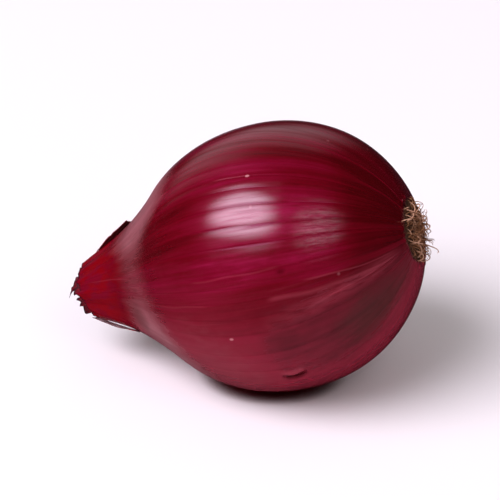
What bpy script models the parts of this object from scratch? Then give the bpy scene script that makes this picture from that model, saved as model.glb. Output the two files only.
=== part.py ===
"""A red onion lying on its side: the bulb, the dry skins of its neck, its root plate and its roots.

Metres, +Z up. The origin is the middle of the small flat spot that the onion rests on. The onion's own
axis lies in the XZ plane: the root end points to +X and a little up, the neck to -X and a little down.
Each piece is modelled about that axis, with +X towards the roots and the bulb's middle at 0, and is
then carried by one empty, which tilts the axis and lifts it to its height.
"""

import math
import random

import bmesh
import bpy
from mathutils import Vector

# Driving dimensions. A length along the axis is counted from the bulb's middle, negative to the neck.
BULB_RADIUS = 0.0290
ROOT_SIDE_LENGTH = 0.0309
NECK_SIDE_LENGTH = 0.0327
NECK_START = -0.0241
NECK_TIP = -0.0462
NECK_TIP_RADIUS = 0.0058
NECK_TIP_SLOPE = 0.42
AXIS_TILT = math.radians(18)
REST_SPOT_DEPTH = 0.0007
FIT_GAP = 0.0003

# Surface relief of the bulb and the neck
BULB_SEGMENTS = 56
BULB_ROWS = 22
NECK_ROWS = 9
RIB_COUNT = 14
RIB_HEIGHT = 0.00018
FOLD_COUNT = 7
FOLD_HEIGHT = 0.00045
NECK_DEPTH_FACTOR = 0.88

# Mouth of the neck, and the dry scales that stand in it
WALL = 0.0005
MOUTH_DEPTH = 0.0040
SCALE_THICKNESS = 0.0003
SCALE_ROWS = 6
SCALE_SEGMENTS = 28
FLAP_ROWS = 9
FLAP_COLUMNS = 8

# Root end
DIMPLE_RADIUS = 0.0074
DIMPLE_DEPTH = 0.0009
DIMPLE_RIM = 0.0295
PLATE_RADIUS = 0.0068
PLATE_EDGE_HEIGHT = 0.0009
PLATE_CROWN = 0.0006
ROOT_COUNT = 24
ROOT_RADIUS = 0.00034
ROOT_TIP_SCALE = 0.45
ROOT_POINTS = 9
GOLDEN_ANGLE = math.pi * (3.0 - math.sqrt(5.0))


def smooth_step(value, start, end):
    """Return 0 before start and 1 after end, with a smooth rise between them."""
    t = min(1.0, max(0.0, (value - start) / (end - start)))
    return t * t * (3.0 - 2.0 * t)


def bulb_radius(along):
    """Return the bulb's plain radius at a place on the axis, down to the tip of the neck."""
    if along >= NECK_START:
        half_length = ROOT_SIDE_LENGTH if along > 0.0 else NECK_SIDE_LENGTH
        return BULB_RADIUS * math.sqrt(max(0.0, 1.0 - (along / half_length) ** 2))
    start = BULB_RADIUS * math.sqrt(1.0 - (NECK_START / NECK_SIDE_LENGTH) ** 2)
    start_slope = -BULB_RADIUS ** 2 * NECK_START / (NECK_SIDE_LENGTH ** 2 * start)
    run = NECK_START - NECK_TIP
    t = (NECK_START - along) / run
    return (
        (2 * t ** 3 - 3 * t ** 2 + 1) * start
        - (t ** 3 - 2 * t ** 2 + t) * run * start_slope
        + (3 * t ** 2 - 2 * t ** 3) * NECK_TIP_RADIUS
        - (t ** 3 - t ** 2) * run * NECK_TIP_SLOPE
    )


def neck_share(along):
    """Return 0 on the bulb and 1 on the narrow part of the neck."""
    return smooth_step(-along, 0.027, 0.041)


def relief(along, angle):
    """Return how far the skin stands out from the plain radius: ribs on the bulb, folds on the neck."""
    neck = neck_share(along)
    root_fade = 1.0 - smooth_step(along, 0.024, 0.029)
    rest_fade = 1.0 - smooth_step(-math.cos(angle), 0.80, 0.97)
    ribs = RIB_HEIGHT * math.cos(RIB_COUNT * angle) * (1.0 - neck) * root_fade * rest_fade
    folds = FOLD_HEIGHT * math.cos(FOLD_COUNT * angle + 40.0 * along) * neck
    return ribs + folds


def onion_point(along, radius, angle):
    """Return a point by its place on the axis, its radius and its angle: 0 is up, 90 degrees is -Y."""
    depth_factor = 1.0 - (1.0 - NECK_DEPTH_FACTOR) * neck_share(along)
    return Vector((along, -radius * math.sin(angle) * depth_factor, radius * math.cos(angle)))


def tear(angle, seed):
    """Return a ragged offset between about -1 and 1 that closes on itself round the neck."""
    return (
        0.50 * math.sin(5 * angle + seed)
        + 0.32 * math.sin(9 * angle + 2.3 * seed)
        + 0.24 * math.sin(13 * angle + 4.1 * seed)
    )


def skin_material(name, colour, roughness):
    """Return a Principled material."""
    material = bpy.data.materials.new(name)
    material.use_nodes = True
    shader = material.node_tree.nodes["Principled BSDF"]
    shader.inputs["Base Color"].default_value = (*colour, 1.0)
    shader.inputs["Roughness"].default_value = roughness
    shader.inputs["Metallic"].default_value = 0.0
    return material


def add_object(name, data, material, carrier):
    """Add an object that holds the data, give it its material and hang it on the carrier."""
    piece = bpy.data.objects.new(name, data)
    bpy.context.collection.objects.link(piece)
    data.materials.append(material)
    piece.parent = carrier
    return piece


def add_mesh_piece(name, mesh_builder, material, carrier):
    """Turn a finished bmesh into a named object, shaded smooth."""
    mesh = bpy.data.meshes.new(name)
    bmesh.ops.recalc_face_normals(mesh_builder, faces=mesh_builder.faces)
    mesh_builder.to_mesh(mesh)
    mesh_builder.free()
    mesh.shade_smooth()
    mesh.set_sharp_from_angle(angle=math.radians(40))
    return add_object(name, mesh, material, carrier)


def turned(outline, segments):
    """Spin an outline of (along, radius) points once round the axis and close it at its two ends."""
    builder = bmesh.new()
    points = [builder.verts.new((along, 0.0, radius)) for along, radius in outline]
    edges = [builder.edges.new(pair) for pair in zip(points, points[1:])]
    bmesh.ops.spin(
        builder,
        geom=points + edges,
        cent=(0.0, 0.0, 0.0),
        axis=(1.0, 0.0, 0.0),
        angle=2.0 * math.pi,
        steps=segments,
        use_merge=True,
    )
    bmesh.ops.remove_doubles(builder, verts=builder.verts, dist=1e-6)
    return builder


def resting_place():
    """Return how far the bulb's middle is from the flat spot, along X and in height."""
    sine = math.sin(AXIS_TILT)
    cosine = math.cos(AXIS_TILT)
    lowest = math.hypot(NECK_SIDE_LENGTH * sine, BULB_RADIUS * cosine)
    along_x = (NECK_SIDE_LENGTH ** 2 - BULB_RADIUS ** 2) * sine * cosine / lowest
    return Vector((along_x, 0.0, lowest - REST_SPOT_DEPTH))


def add_axis():
    """Add the empty that carries every piece: the bulb's middle, with its X axis towards the roots."""
    axis = bpy.data.objects.new("onion_axis", None)
    axis.location = resting_place()
    axis.rotation_euler = (0.0, -AXIS_TILT, 0.0)
    bpy.context.collection.objects.link(axis)
    bpy.context.view_layer.update()
    return axis


def bulb_outline():
    """Return the bulb's outline from the bottom of the neck's mouth round to the root dimple."""
    mouth_bottom = NECK_TIP + MOUTH_DEPTH
    mouth = [
        (mouth_bottom, 0.0),
        (mouth_bottom, NECK_TIP_RADIUS - 3.0 * WALL),
        (mouth_bottom + 0.35 * (NECK_TIP - mouth_bottom), NECK_TIP_RADIUS - 2.2 * WALL),
        (NECK_TIP, NECK_TIP_RADIUS - WALL),
    ]
    neck_run = NECK_START - NECK_TIP
    neck_stations = [NECK_TIP + neck_run * step / NECK_ROWS for step in range(NECK_ROWS)]
    neck = [(along, bulb_radius(along)) for along in neck_stations]
    first = math.acos(NECK_START / NECK_SIDE_LENGTH)
    last = math.acos(DIMPLE_RIM / ROOT_SIDE_LENGTH)
    body = []
    for step in range(BULB_ROWS + 1):
        turn = first + (last - first) * step / BULB_ROWS
        half_length = ROOT_SIDE_LENGTH if math.cos(turn) > 0.0 else NECK_SIDE_LENGTH
        along = half_length * math.cos(turn)
        body.append((along, bulb_radius(along)))
    dimple_floor = DIMPLE_RIM - DIMPLE_DEPTH
    dimple = [
        (DIMPLE_RIM + 0.0001, 0.5 * (body[-1][1] + DIMPLE_RADIUS)),
        (DIMPLE_RIM - 0.0001, DIMPLE_RADIUS + 0.0001),
        (dimple_floor, DIMPLE_RADIUS - 0.0001),
        (dimple_floor, 0.0),
    ]
    return mouth + neck + body + dimple


def add_bulb(axis, material):
    """Add the bulb with its neck, its torn mouth, its root dimple and its flat resting spot."""
    builder = turned(bulb_outline(), BULB_SEGMENTS)
    for vertex in builder.verts:
        along, across, up = vertex.co
        radius = math.hypot(across, up)
        if radius > 1e-5:
            angle = math.atan2(-across, up)
            share = radius / max(radius, bulb_radius(along))
            torn = 0.0005 * tear(angle, 1.0) * smooth_step(-along, -NECK_TIP - 0.003, -NECK_TIP)
            vertex.co = onion_point(along + torn, radius + share * relief(along, angle), angle)
    to_onion = axis.matrix_world.inverted()
    cut = bmesh.ops.bisect_plane(
        builder,
        geom=list(builder.verts) + list(builder.edges) + list(builder.faces),
        dist=1e-7,
        plane_co=to_onion @ Vector((0.0, 0.0, 0.0)),
        plane_no=to_onion.to_3x3() @ Vector((0.0, 0.0, -1.0)),
        clear_outer=True,
    )
    rim = [item for item in cut["geom_cut"] if isinstance(item, bmesh.types.BMEdge)]
    bmesh.ops.contextual_create(builder, geom=rim)
    return add_mesh_piece("bulb", builder, material, axis)


def add_neck_scale(axis, material, name, start_radius, end_radius, tip, seed):
    """Add a dry papery scale: a thin ring that stands in the mouth of the neck and is torn at its tip."""
    start = NECK_TIP + MOUTH_DEPTH - FIT_GAP
    builder = bmesh.new()
    rows = []
    for row in range(SCALE_ROWS):
        share = row / (SCALE_ROWS - 1)
        along = start + (tip - start) * share
        radius = start_radius + (end_radius - start_radius) * math.sin(0.5 * math.pi * share)
        ring = []
        for column in range(SCALE_SEGMENTS):
            angle = 2.0 * math.pi * column / SCALE_SEGMENTS
            torn = 0.0009 * tear(angle, seed) * share ** 3
            fold = 0.5 * FOLD_HEIGHT * math.cos(FOLD_COUNT * angle + 40.0 * along) * share
            ring.append(builder.verts.new(onion_point(along + torn, radius + fold, angle)))
        rows.append(ring)
    for lower, upper in zip(rows, rows[1:]):
        for column in range(SCALE_SEGMENTS):
            following = (column + 1) % SCALE_SEGMENTS
            builder.faces.new((lower[column], lower[following], upper[following], upper[column]))
    piece = add_mesh_piece(name, builder, material, axis)
    wall = piece.modifiers.new("Wall", "SOLIDIFY")
    wall.thickness = SCALE_THICKNESS
    wall.offset = -1.0
    return piece


def add_neck_flap(axis, material, name, start, end, middle_angle, half_width, lift, free_share, seed):
    """Add a loose strip of dry skin on the neck, held at its neck end and lifted towards the bulb.

    free_share says how much of the greatest lift is left at the end towards the bulb.
    """
    first_phase = math.asin(free_share)
    builder = bmesh.new()
    grid = []
    for row in range(FLAP_ROWS):
        share = row / (FLAP_ROWS - 1)
        stand_off = 2.0 * FIT_GAP + lift * math.sin(first_phase + (math.pi - first_phase) * share)
        line = []
        for column in range(FLAP_COLUMNS):
            side = 2.0 * column / (FLAP_COLUMNS - 1) - 1.0
            along = start + (end - start) * share + 0.0004 * math.sin(3.1 * side + 2.0 * share + seed)
            narrowing = 1.0 - 0.35 * share + 0.06 * math.sin(9.0 * share + seed)
            angle = middle_angle + half_width * side * narrowing
            radius = bulb_radius(along) + stand_off + max(0.0, relief(along, angle))
            line.append(builder.verts.new(onion_point(along, radius, angle)))
        grid.append(line)
    for lower, upper in zip(grid, grid[1:]):
        for column in range(FLAP_COLUMNS - 1):
            corners = (lower[column], lower[column + 1], upper[column + 1], upper[column])
            builder.faces.new(corners)
    outward = Vector((0.0, -math.sin(middle_angle), math.cos(middle_angle)))
    builder.normal_update()
    if sum(face.normal.dot(outward) for face in builder.faces) < 0.0:
        bmesh.ops.reverse_faces(builder, faces=builder.faces)
    mesh = bpy.data.meshes.new(name)
    builder.to_mesh(mesh)
    builder.free()
    mesh.shade_smooth()
    piece = add_object(name, mesh, material, axis)
    wall = piece.modifiers.new("Wall", "SOLIDIFY")
    wall.thickness = SCALE_THICKNESS
    wall.offset = 1.0
    return piece


def add_root_plate(axis, material):
    """Add the corky basal disc in the root dimple: a low dome with a rounded, uneven edge."""
    floor = DIMPLE_RIM - DIMPLE_DEPTH + FIT_GAP
    edge = floor + PLATE_EDGE_HEIGHT
    outline = [
        (floor, 0.0),
        (floor, PLATE_RADIUS - 0.0002),
        (floor + 0.0003, PLATE_RADIUS),
        (edge, PLATE_RADIUS - 0.0001),
        (edge + 0.35 * PLATE_CROWN, 0.85 * PLATE_RADIUS),
        (edge + 0.80 * PLATE_CROWN, 0.50 * PLATE_RADIUS),
        (edge + PLATE_CROWN, 0.0),
    ]
    builder = turned(outline, 32)
    for vertex in builder.verts:
        angle = math.atan2(-vertex.co.y, vertex.co.z)
        shrink = 1.0 - 0.025 * (1.0 + math.sin(6.0 * angle + 1.0))
        vertex.co.y *= shrink
        vertex.co.z *= shrink
    return add_mesh_piece("root_plate", builder, material, axis)


def plate_height(radius):
    """Return where the root plate's top is on the axis, at a radius."""
    share = min(1.0, radius / PLATE_RADIUS)
    return DIMPLE_RIM - DIMPLE_DEPTH + FIT_GAP + PLATE_EDGE_HEIGHT + PLATE_CROWN * (1.0 - share ** 2)


def root_path(index):
    """Return the points of one root: out of the plate, then bent over outwards and a little round."""
    draw = random.Random(100 + index)
    share = (index + 0.6) / ROOT_COUNT
    foot_radius = 0.82 * PLATE_RADIUS * math.sqrt(share)
    foot_angle = GOLDEN_ANGLE * index
    rise = 0.0023 - 0.0013 * share
    spread = 0.0030 + 0.0012 * draw.random()
    swirl = 0.35 * (1.0 - share)
    base = plate_height(foot_radius) + FIT_GAP
    points = []
    for step in range(ROOT_POINTS):
        t = step / (ROOT_POINTS - 1)
        out = foot_radius + spread * t ** 1.7
        angle = foot_angle + swirl * t
        along = base + rise * math.sin(0.5 * math.pi * min(1.0, 1.25 * t)) - 0.0006 * max(0.0, t - 0.8)
        points.append(Vector((along, -out * math.sin(angle), out * math.cos(angle))))
    return points


def add_root(axis, material, index):
    """Add one dry root as a tapered tube with closed ends."""
    name = f"root_{index + 1:02d}"
    curve = bpy.data.curves.new(name, "CURVE")
    curve.dimensions = "3D"
    curve.bevel_depth = ROOT_RADIUS
    curve.bevel_resolution = 1
    curve.use_fill_caps = True
    path = root_path(index)
    spline = curve.splines.new("POLY")
    spline.points.add(len(path) - 1)
    for step, (target, place) in enumerate(zip(spline.points, path)):
        target.co = (*place, 1.0)
        target.radius = 1.0 - (1.0 - ROOT_TIP_SCALE) * step / (len(path) - 1)
    return add_object(name, curve, material, axis)


def clear_scene():
    """Remove whatever objects the file starts with."""
    for item in list(bpy.data.objects):
        bpy.data.objects.remove(item, do_unlink=True)


def main():
    """Model the onion."""
    clear_scene()
    axis = add_axis()
    bulb_skin = skin_material("bulb_skin", (0.20, 0.006, 0.018), 0.28)
    neck_skin = skin_material("neck_skin", (0.28, 0.008, 0.022), 0.55)
    flap_skin = skin_material("flap_skin", (0.16, 0.012, 0.022), 0.60)
    cork = skin_material("root_cork", (0.26, 0.13, 0.07), 0.85)
    dry_root = skin_material("dry_root", (0.42, 0.26, 0.15), 0.80)
    add_bulb(axis, bulb_skin)
    add_neck_scale(axis, neck_skin, "neck_scale_outer", 0.0038, 0.0047, NECK_TIP - 0.0010, 2.0)
    add_neck_scale(axis, neck_skin, "neck_scale_inner", 0.0029, 0.0034, NECK_TIP - 0.0018, 5.0)
    lower = math.radians(152)
    far = math.radians(-38)
    add_neck_flap(axis, flap_skin, "neck_flap_lower", -0.0352, -0.0447, lower, 0.62, 0.0005, 0.3, 0.5)
    add_neck_flap(axis, flap_skin, "neck_flap_far", -0.0330, -0.0410, far, 0.50, 0.0014, 0.7, 2.6)
    add_root_plate(axis, cork)
    for index in range(ROOT_COUNT):
        add_root(axis, dry_root, index)


main()
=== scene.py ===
"""A red onion lying on its side: the fine surface, skins, root plate and dry roots, with their finishes.

Every piece is shaped about the onion's own axis, with +X towards the roots and the bulb's middle at 0,
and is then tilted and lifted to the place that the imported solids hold. Lengths are in metres.
"""

import logging
import math
from collections.abc import Callable, Sequence
from dataclasses import dataclass, field
from enum import Enum

import bpy
import numpy as np
from mathutils import Matrix, Vector

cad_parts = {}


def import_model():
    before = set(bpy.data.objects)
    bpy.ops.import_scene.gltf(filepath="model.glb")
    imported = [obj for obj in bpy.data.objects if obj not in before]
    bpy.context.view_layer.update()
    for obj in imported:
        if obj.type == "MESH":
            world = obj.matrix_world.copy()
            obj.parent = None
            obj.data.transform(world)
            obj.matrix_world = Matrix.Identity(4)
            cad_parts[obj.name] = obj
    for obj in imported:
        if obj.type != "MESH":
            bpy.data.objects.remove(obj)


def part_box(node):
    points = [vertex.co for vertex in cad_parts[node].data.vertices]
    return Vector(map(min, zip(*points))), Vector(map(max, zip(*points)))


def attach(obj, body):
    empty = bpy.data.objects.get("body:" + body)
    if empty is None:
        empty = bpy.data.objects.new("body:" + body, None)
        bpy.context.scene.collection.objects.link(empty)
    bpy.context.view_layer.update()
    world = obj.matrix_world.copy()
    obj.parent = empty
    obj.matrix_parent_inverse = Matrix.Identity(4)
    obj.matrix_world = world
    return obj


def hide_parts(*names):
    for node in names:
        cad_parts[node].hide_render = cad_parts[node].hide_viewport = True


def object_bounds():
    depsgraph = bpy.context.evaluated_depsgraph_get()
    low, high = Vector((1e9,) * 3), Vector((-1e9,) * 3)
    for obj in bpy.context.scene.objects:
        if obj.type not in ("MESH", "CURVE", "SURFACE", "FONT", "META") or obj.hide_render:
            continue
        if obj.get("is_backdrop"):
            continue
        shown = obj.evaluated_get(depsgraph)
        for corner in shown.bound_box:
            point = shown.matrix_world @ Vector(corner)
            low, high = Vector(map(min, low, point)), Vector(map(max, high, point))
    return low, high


LOG = logging.getLogger("onion")
MM = 0.001
CM = 0.01
TURN = 2.0 * math.pi


# ---------------------------------------------------------------------------------------------------
# The onion's form
# ---------------------------------------------------------------------------------------------------


def smooth_step(value: np.ndarray | float, start: float, end: float) -> np.ndarray:
    """Rise smoothly from 0 to 1.

    Args:
        value: The value or values to judge.
        start: Where the rise starts.
        end: Where it is complete.

    Returns:
        An array of the same shape, 0 before start and 1 after end.
    """
    share = np.clip((np.asarray(value, float) - start) / (end - start), 0.0, 1.0)
    return share * share * (3.0 - 2.0 * share)


def bump(value: np.ndarray | float, middle: float, half_width: float) -> np.ndarray:
    """Return a smooth hill of height 1 at middle that reaches 0 half_width away on each side."""
    return 1.0 - smooth_step(np.abs(np.asarray(value, float) - middle), 0.0, half_width)


@dataclass(frozen=True)
class OnionForm:
    """The onion's plain shape as a formula, measured along and about its own axis.

    Attributes:
        radius: The bulb's radius at its widest.
        tilt: How far the axis rises towards the roots.
        rest_depth: How deep the flat resting spot is.
        root_side: The half length of the bulb towards the roots.
        neck_side: The half length that the bulb would have towards the neck.
        neck_start: Where the bulb's curve passes into the neck's.
        neck_tip: Where the neck ends.
        neck_tip_radius: The neck's radius there.
        neck_tip_slope: How fast the neck still narrows there.
        neck_depth_factor: The neck's thickness front to back, as a share of its height.
        root_rim: Where the bulb's curve ends at the roots.
        cad_rib_dip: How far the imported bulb's widest place lies inside its plain radius.
    """

    radius: float
    tilt: float = math.radians(18)
    rest_depth: float = 0.7 * MM
    root_side: float = 30.9 * MM
    neck_side: float = 32.7 * MM
    neck_start: float = -24.1 * MM
    neck_tip: float = -46.2 * MM
    neck_tip_radius: float = 5.8 * MM
    neck_tip_slope: float = 0.42
    neck_depth_factor: float = 0.88
    root_rim: float = 29.5 * MM
    cad_rib_dip: float = 0.18 * MM

    @classmethod
    def from_frame(cls) -> "OnionForm":
        """Read the bulb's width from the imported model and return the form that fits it."""
        low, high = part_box("bulb")
        return cls(radius=0.5 * (high.y - low.y) + cls.cad_rib_dip)

    @property
    def placement(self) -> Matrix:
        """The matrix that tilts a piece and lifts it from the bulb's middle to its place."""
        sine, cosine = math.sin(self.tilt), math.cos(self.tilt)
        lowest = math.hypot(self.neck_side * sine, self.radius * cosine)
        along_x = (self.neck_side**2 - self.radius**2) * sine * cosine / lowest
        middle = Vector((along_x, 0.0, lowest - self.rest_depth))
        return Matrix.Translation(middle) @ Matrix.Rotation(-self.tilt, 4, "Y")

    def plain_radius(self, along: np.ndarray | float) -> np.ndarray:
        """Return the radius of the plain bulb and neck.

        Args:
            along: Places on the axis, 0 at the bulb's middle.

        Returns:
            The radius at each place.
        """
        along = np.asarray(along, float)
        half_length = np.where(along > 0.0, self.root_side, self.neck_side)
        bulb = self.radius * np.sqrt(np.clip(1.0 - (along / half_length) ** 2, 0.0, 1.0))
        start = self.radius * math.sqrt(1.0 - (self.neck_start / self.neck_side) ** 2)
        start_slope = -(self.radius**2) * self.neck_start / (self.neck_side**2 * start)
        run = self.neck_start - self.neck_tip
        t = (self.neck_start - along) / run
        neck = (
            (2 * t**3 - 3 * t**2 + 1) * start
            - (t**3 - 2 * t**2 + t) * run * start_slope
            + (3 * t**2 - 2 * t**3) * self.neck_tip_radius
            - (t**3 - t**2) * run * self.neck_tip_slope
        )
        return np.where(along >= self.neck_start, bulb, neck)

    def neck_share(self, along: np.ndarray | float) -> np.ndarray:
        """Return 0 on the bulb and 1 on the narrow part of the neck."""
        return smooth_step(-np.asarray(along, float), 27 * MM, 41 * MM)

    def points(self, along: np.ndarray, radius: np.ndarray, angle: np.ndarray) -> np.ndarray:
        """Turn places about the axis into points.

        Args:
            along: Places on the axis.
            radius: Distances from it.
            angle: Angles round it: 0 is up and a quarter turn is -Y.

        Returns:
            An array of x, y, z rows about the onion's own axis.
        """
        depth = 1.0 - (1.0 - self.neck_depth_factor) * self.neck_share(along)
        return np.stack([along, -radius * np.sin(angle) * depth, radius * np.cos(angle)], axis=-1)


@dataclass(frozen=True)
class Ribs:
    """The lengthwise ribs between the skin's nerves, uneven in width and height.

    Attributes:
        count: How many ribs go round the onion.
        unevenness: How much their widths differ, 0 to 1.
        seed: The seed of their widths and heights.
    """

    count: int = 46
    unevenness: float = 0.45
    seed: int = 833

    def borders(self) -> np.ndarray:
        """Return the turns, 0 to 1, at which the ribs meet, with both ends of the round."""
        widths = 1.0 + self.unevenness * np.random.default_rng(self.seed).uniform(-1.0, 1.0, self.count)
        return np.concatenate([[0.0], np.cumsum(widths / widths.sum())])

    def phase(self, angle: np.ndarray, along: np.ndarray) -> np.ndarray:
        """Return the rib number with its fraction across the rib, for each place.

        Args:
            angle: Angles round the axis, in radians.
            along: Places on the axis.

        Returns:
            Values from 0 to count, with whole numbers in the grooves.
        """
        sway = 0.0022 * np.sin(along / (9 * MM) + 3.0 * np.sin(angle) + 1.0)
        turns = np.mod(angle / TURN + sway, 1.0)
        return np.interp(turns, self.borders(), np.arange(self.count + 1))

    def heights(self) -> np.ndarray:
        """Return how high each rib stands, as a share of the usual height."""
        return 0.4 + 0.9 * np.random.default_rng(self.seed + 1).random(self.count)


class TornEdge:
    """A ragged edge that closes on itself: short straight tears between seeded points."""

    def __init__(
        self,
        seed: int,
        tears: int,
        depth: float,
        spikes: int = 0,
        spike: float = 0.0,
        shreds: Sequence[tuple[float, float, float]] = (),
    ) -> None:
        """Draw the tears.

        Args:
            seed: The seed of the tears.
            tears: How many straight stretches go round.
            depth: How far the edge wanders, in the unit that the offset is wanted in.
            spikes: How many long points stand out.
            spike: How far they stand out.
            shreds: Single shreds: their turn, half their width in turns, and their length.
        """
        draw = np.random.default_rng(seed)
        places = np.sort(draw.random(tears))
        offsets = depth * draw.uniform(-1.0, 1.0, tears)
        for index in draw.choice(tears, spikes, replace=False):
            offsets[index] += spike * draw.uniform(0.6, 1.0)
        self._shreds = tuple(shreds)
        self._places = np.concatenate([[places[-1] - 1.0], places, [places[0] + 1.0]])
        self._offsets = np.concatenate([[offsets[-1]], offsets, [offsets[0]]])

    def offset(self, turns: np.ndarray) -> np.ndarray:
        """Return the edge's offset at turns counted from 0 to 1."""
        turns = np.mod(turns, 1.0)
        offset = np.interp(turns, self._places, self._offsets)
        for place, half_width, length in self._shreds:
            offset = offset + length * np.clip(1.0 - np.abs(turns - place) / half_width, 0.0, 1.0)
        return offset


# ---------------------------------------------------------------------------------------------------
# Modelling by hand, as operators
# ---------------------------------------------------------------------------------------------------


def deselect_all() -> None:
    """Deselect every object, so that an operator acts only on the piece in hand."""
    for item in bpy.context.selected_objects:
        item.select_set(False)


def take_in_hand(piece: bpy.types.Object) -> None:
    """Select one piece alone and make it active."""
    deselect_all()
    piece.select_set(True)
    bpy.context.view_layer.objects.active = piece


def get_points(piece: bpy.types.Object) -> np.ndarray:
    """Return a piece's vertex places as rows of x, y, z."""
    flat = np.zeros(len(piece.data.vertices) * 3, np.float32)
    piece.data.vertices.foreach_get("co", flat)
    return flat.reshape(-1, 3).astype(float)


def set_points(piece: bpy.types.Object, points: np.ndarray) -> None:
    """Move a piece's vertices to the rows of x, y, z given."""
    piece.data.vertices.foreach_set("co", points.astype(np.float32).ravel())
    piece.data.update()


def merge_and_face_outwards(piece: bpy.types.Object) -> None:
    """Weld a closed piece's doubled vertices and turn its faces outwards."""
    take_in_hand(piece)
    bpy.ops.object.mode_set(mode="EDIT")
    bpy.ops.mesh.select_all(action="SELECT")
    bpy.ops.mesh.remove_doubles(threshold=1e-7)
    bpy.ops.mesh.normals_make_consistent(inside=False)
    bpy.ops.object.mode_set(mode="OBJECT")


def spun_piece(name: str, outline: np.ndarray, steps: int) -> bpy.types.Object:
    """Draw an outline point by point and spin it round the onion's axis.

    Args:
        name: The piece's name.
        outline: Rows of along and radius, from one end of the axis to the other.
        steps: How many steps make the round.

    Returns:
        The closed piece, about the onion's own axis.
    """
    deselect_all()
    first = (float(outline[0][0]), 0.0, float(outline[0][1]))
    bpy.ops.mesh.primitive_plane_add(size=MM, location=(0.0, 0.0, 0.0))
    piece = bpy.context.active_object
    piece.name = name
    bpy.ops.object.mode_set(mode="EDIT")
    bpy.ops.mesh.merge(type="CENTER")
    bpy.ops.transform.translate(value=first)
    for before, after in zip(outline, outline[1:]):
        step = (float(after[0] - before[0]), 0.0, float(after[1] - before[1]))
        bpy.ops.mesh.extrude_region_move(TRANSFORM_OT_translate={"value": step})
    bpy.ops.mesh.select_all(action="SELECT")
    bpy.ops.mesh.spin(steps=steps, angle=TURN, center=(0.0, 0.0, 0.0), axis=(1.0, 0.0, 0.0))
    bpy.ops.object.mode_set(mode="OBJECT")
    merge_and_face_outwards(piece)
    return piece


def grid_piece(
    name: str, columns: int, rows: int, shape: Callable[[np.ndarray, np.ndarray], np.ndarray]
) -> bpy.types.Object:
    """Add a grid and lay it over a shape.

    Args:
        name: The piece's name.
        columns: Faces across.
        rows: Faces along.
        shape: A function of the shares across and along, 0 to 1, that returns rows of x, y, z.

    Returns:
        The sheet, about the onion's own axis, with its shares kept as the vertex attribute "share".
    """
    deselect_all()
    bpy.ops.mesh.primitive_grid_add(x_subdivisions=columns, y_subdivisions=rows, size=1.0)
    piece = bpy.context.active_object
    piece.name = name
    flat = get_points(piece)
    across = np.clip(flat[:, 0] + 0.5, 0.0, 1.0)
    along = np.clip(flat[:, 1] + 0.5, 0.0, 1.0)
    set_points(piece, shape(across, along))
    keep_attribute(piece, "share", across, along)
    return piece


def keep_attribute(piece: bpy.types.Object, name: str, *columns: np.ndarray) -> None:
    """Keep up to three numbers for each vertex, for shaping and for the finish to read.

    Args:
        piece: The mesh piece.
        name: The attribute's name.
        columns: The numbers: an array for each of the attribute's parts, the rest being 0.
    """
    mesh = piece.data
    layer = mesh.attributes.get(name) or mesh.attributes.new(name, "FLOAT_VECTOR", "POINT")
    rows = np.zeros((len(mesh.vertices), 3), np.float32)
    for part, column in enumerate(columns):
        rows[:, part] = column
    layer.data.foreach_set("vector", rows.ravel())


def read_attribute(piece: bpy.types.Object, name: str) -> np.ndarray:
    """Return the rows of three numbers that were kept for the vertices under a name."""
    flat = np.zeros(len(piece.data.vertices) * 3, np.float32)
    piece.data.attributes[name].data.foreach_get("vector", flat)
    return flat.reshape(-1, 3).astype(float)


def give_wall(piece: bpy.types.Object, thickness: float, offset: float) -> None:
    """Give a sheet its thickness.

    Args:
        piece: The sheet.
        thickness: The wall's thickness, in metres.
        offset: -1 grows the wall inwards, 1 outwards and 0 both ways.
    """
    take_in_hand(piece)
    wall = piece.modifiers.new("Wall", "SOLIDIFY")
    wall.thickness = thickness
    wall.offset = offset
    bpy.ops.object.modifier_apply(modifier=wall.name)


def map_loops(
    piece: bpy.types.Object, name: str, across: np.ndarray, along: np.ndarray, period: float
) -> None:
    """Give a piece a UV map from numbers at its vertices, unbroken where the round closes.

    Args:
        piece: The mesh piece.
        name: The UV map's name.
        across: A number for each vertex, which starts again after a period.
        along: A second number for each vertex.
        period: The period of across.
    """
    mesh = piece.data
    layer = mesh.uv_layers.get(name) or mesh.uv_layers.new(name=name)
    vertex = np.zeros(len(mesh.loops), np.int32)
    mesh.loops.foreach_get("vertex_index", vertex)
    sides = np.zeros(len(mesh.polygons), np.int32)
    mesh.polygons.foreach_get("loop_total", sides)
    face = np.repeat(np.arange(len(sides)), sides)
    value = across[vertex]
    starts = np.concatenate([[0], np.cumsum(sides)[:-1]])
    highest = np.maximum.reduceat(value, starts)[face]
    value = np.where(highest - value > 0.5 * period, value + period, value)
    rows = np.stack([value, along[vertex]], axis=-1)
    layer.data.foreach_set("uv", rows.astype(np.float32).ravel())


def finish_shape(piece: bpy.types.Object, placement: Matrix) -> None:
    """Shade a piece smooth, carry it to its place and leave that place in its mesh.

    Args:
        piece: The piece, about the onion's own axis.
        placement: The matrix that carries it to its place.
    """
    take_in_hand(piece)
    bpy.ops.object.shade_smooth()
    piece.matrix_world = placement
    bpy.ops.object.transform_apply(location=True, rotation=True, scale=True)


# ---------------------------------------------------------------------------------------------------
# Node work
# ---------------------------------------------------------------------------------------------------

Colour = tuple[float, float, float]
Socket = bpy.types.NodeSocket
BLACK: Colour = (0.0, 0.0, 0.0)


def opaque(colour: Colour) -> tuple[float, float, float, float]:
    """Return a colour with full alpha."""
    return (*colour, 1.0)


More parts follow.
